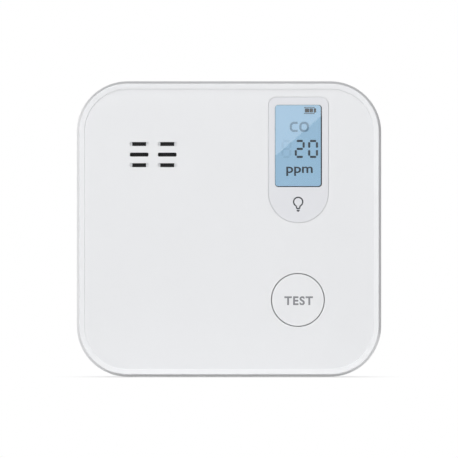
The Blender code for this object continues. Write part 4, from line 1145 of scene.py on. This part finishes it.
class ALARM_OT_studio(bpy.types.Operator):
    """Sets the floor, the lamps, the dark cards, the world and the camera"""

    bl_idname = "alarm.studio"
    bl_label = "Studio"

    def execute(self, context):
        context.scene.view_settings.view_transform = "Standard"
        studio = context.scene.alarm_studio
        self.camera(context, studio)
        self.floor()
        self.world(context, studio)
        self.cards()
        self.lamp("key_lamp", (-0.8, -2.0, 0.3), (1.4, 1.4), studio.key_power)
        self.lamp("fill_lamp", (0.7, -2.0, 0.0), (1.2, 1.2), studio.fill_power)
        self.lamp("top_lamp", (-0.1, -0.7, 1.24), (1.2, 1.0), studio.top_power)
        for name, side in (("back_lamp_left", -1), ("back_lamp_right", 1)):
            self.lamp(name, (side * 0.8, 0.9, 0.25), (0.7, 0.7), studio.back_power)
        rear = self.lamp("rear_lamp", (0, 1.1, 0.015), (0.2, 0.2), studio.rear_power)
        rear.visible_glossy = False
        return {"FINISHED"}

    def camera(self, context, studio):
        """Square on to the front, level with the housing's centre."""
        data = bpy.data.cameras.new("camera")
        data.lens = studio.lens
        self.distance = studio.view_width * studio.lens / data.sensor_width
        camera = added("camera", data)
        camera.location = (0, CREST - self.distance, CENTRE.z)
        camera.rotation_euler = (math.pi / 2, 0, 0)
        context.scene.camera = camera

    def lamp(self, name, offset, size, power):
        """A rectangular soft lamp aimed at the housing's centre."""
        data = bpy.data.lights.new(name, "AREA")
        data.shape = "RECTANGLE"
        data.size, data.size_y = size
        data.energy = power
        lamp = added(name, data)
        lamp.location = CENTRE + Vector(offset)
        lamp.rotation_euler = (-Vector(offset)).to_track_quat("-Z", "Y").to_euler()
        lamp.visible_camera = False
        return lamp

    def floor(self):
        """A pale sheet under the alarm."""
        bm = bmesh.new()
        level = Matrix.Translation((0, 0, FLOOR_LEVEL))
        bmesh.ops.create_grid(bm, x_segments=1, y_segments=1, size=3, matrix=level)
        floor = as_object("floor", bm)
        floor.data.materials.append(finish(studio_paper_matt))

    def world(self, context, studio):
        """White to the eye, in reflections and through glass; softer as light on the alarm."""
        world = bpy.data.worlds.new("studio")
        world.use_nodes = True
        context.scene.world = world
        node, nodes = partial(add_node, world.node_tree), world.node_tree.nodes
        soft = nodes["Background"]
        feed(soft, {"Color": WHITE, "Strength": studio.ambient})
        white = node("Background", {"Color": WHITE, "Strength": 1.0})
        feed(nodes["World Output"], {"Surface": white_when_seen(node, soft, white)})

    def card(self, name, width, height, place, slope=0.0):
        """A black card that only reflections see, to draw an edge in them; its top edge is at place."""
        bm = boxes(((-width / 2, -MM, -height), (width / 2, MM, 0)))
        turn = Matrix.Rotation(-slope, 3, "Y")
        bmesh.ops.rotate(bm, verts=bm.verts, cent=(0, 0, 0), matrix=turn)
        card = as_object(name, moved(bm, *(CENTRE + Vector(place))))
        card.data.materials.append(finish(black_card_matt))
        card.visible_camera = False
        card.visible_shadow = False
        card.visible_diffuse = False

    def cards(self):
        """One card draws the slanting edge in the display, two give the right and top walls a dark line."""
        start, end = Vector((15.6 * MM, 24.4 * MM)), Vector((30.4 * MM, 37.3 * MM))
        reach = 0.25
        middle = (start + end) / 2 * (1 + reach / self.distance)
        slope = math.atan2(end.y - start.y, end.x - start.x)
        self.card("display_card", 34 * MM, 22 * MM, (middle.x, CREST - reach, middle.y), slope)
        self.card("right_card", 0.5, 0.5, (0.33, 0.3, 0.25))
        self.card("top_card", 0.5, 0.5, (0.0, 0.3, 0.58))


PIECES = (
    ALARM_OT_front_cover,
    ALARM_OT_rear_mouldings,
    ALARM_OT_display_bezel,
    ALARM_OT_display,
    ALARM_OT_test_button,
    ALARM_OT_screws,
    ALARM_OT_carried_parts,
    ALARM_OT_studio,
)
SETTINGS = {
    "alarm_housing": AlarmHousing,
    "alarm_display": AlarmDisplay,
    "alarm_button": AlarmButton,
    "alarm_finish": AlarmFinish,
    "alarm_studio": AlarmStudio,
}


class ALARM_PT_panel(bpy.types.Panel):
    """Lists the alarm's pieces and sizes"""

    bl_idname = "ALARM_PT_panel"
    bl_label = "Carbon monoxide alarm"
    bl_space_type = "VIEW_3D"
    bl_region_type = "UI"
    bl_category = "Alarm"

    def draw(self, context):
        for operator in PIECES:
            self.layout.operator(operator.bl_idname)
        for name in SETTINGS:
            group = getattr(context.scene, name)
            column = self.layout.column()
            for prop in group.bl_rna.properties:
                if prop.identifier not in ("rna_type", "name"):
                    column.prop(group, prop.identifier)


def register():
    for group in SETTINGS.values():
        bpy.utils.register_class(group)
    for name, group in SETTINGS.items():
        setattr(bpy.types.Scene, name, PointerProperty(type=group))
    for made in (*PIECES, ALARM_PT_panel):
        bpy.utils.register_class(made)


def unregister():
    for made in reversed((*PIECES, ALARM_PT_panel)):
        bpy.utils.unregister_class(made)
    for name, group in reversed(list(SETTINGS.items())):
        delattr(bpy.types.Scene, name)
        bpy.utils.unregister_class(group)


def main():
    register()
    bpy.ops.alarm.front_cover()
    bpy.ops.alarm.rear_mouldings()
    bpy.ops.alarm.display_bezel()
    bpy.ops.alarm.display()
    bpy.ops.alarm.test_button()
    bpy.ops.alarm.screws()
    bpy.ops.alarm.carried_parts()
    bpy.ops.alarm.studio()
    bpy.context.view_layer.update()


if __name__ == "__main__":
    main()
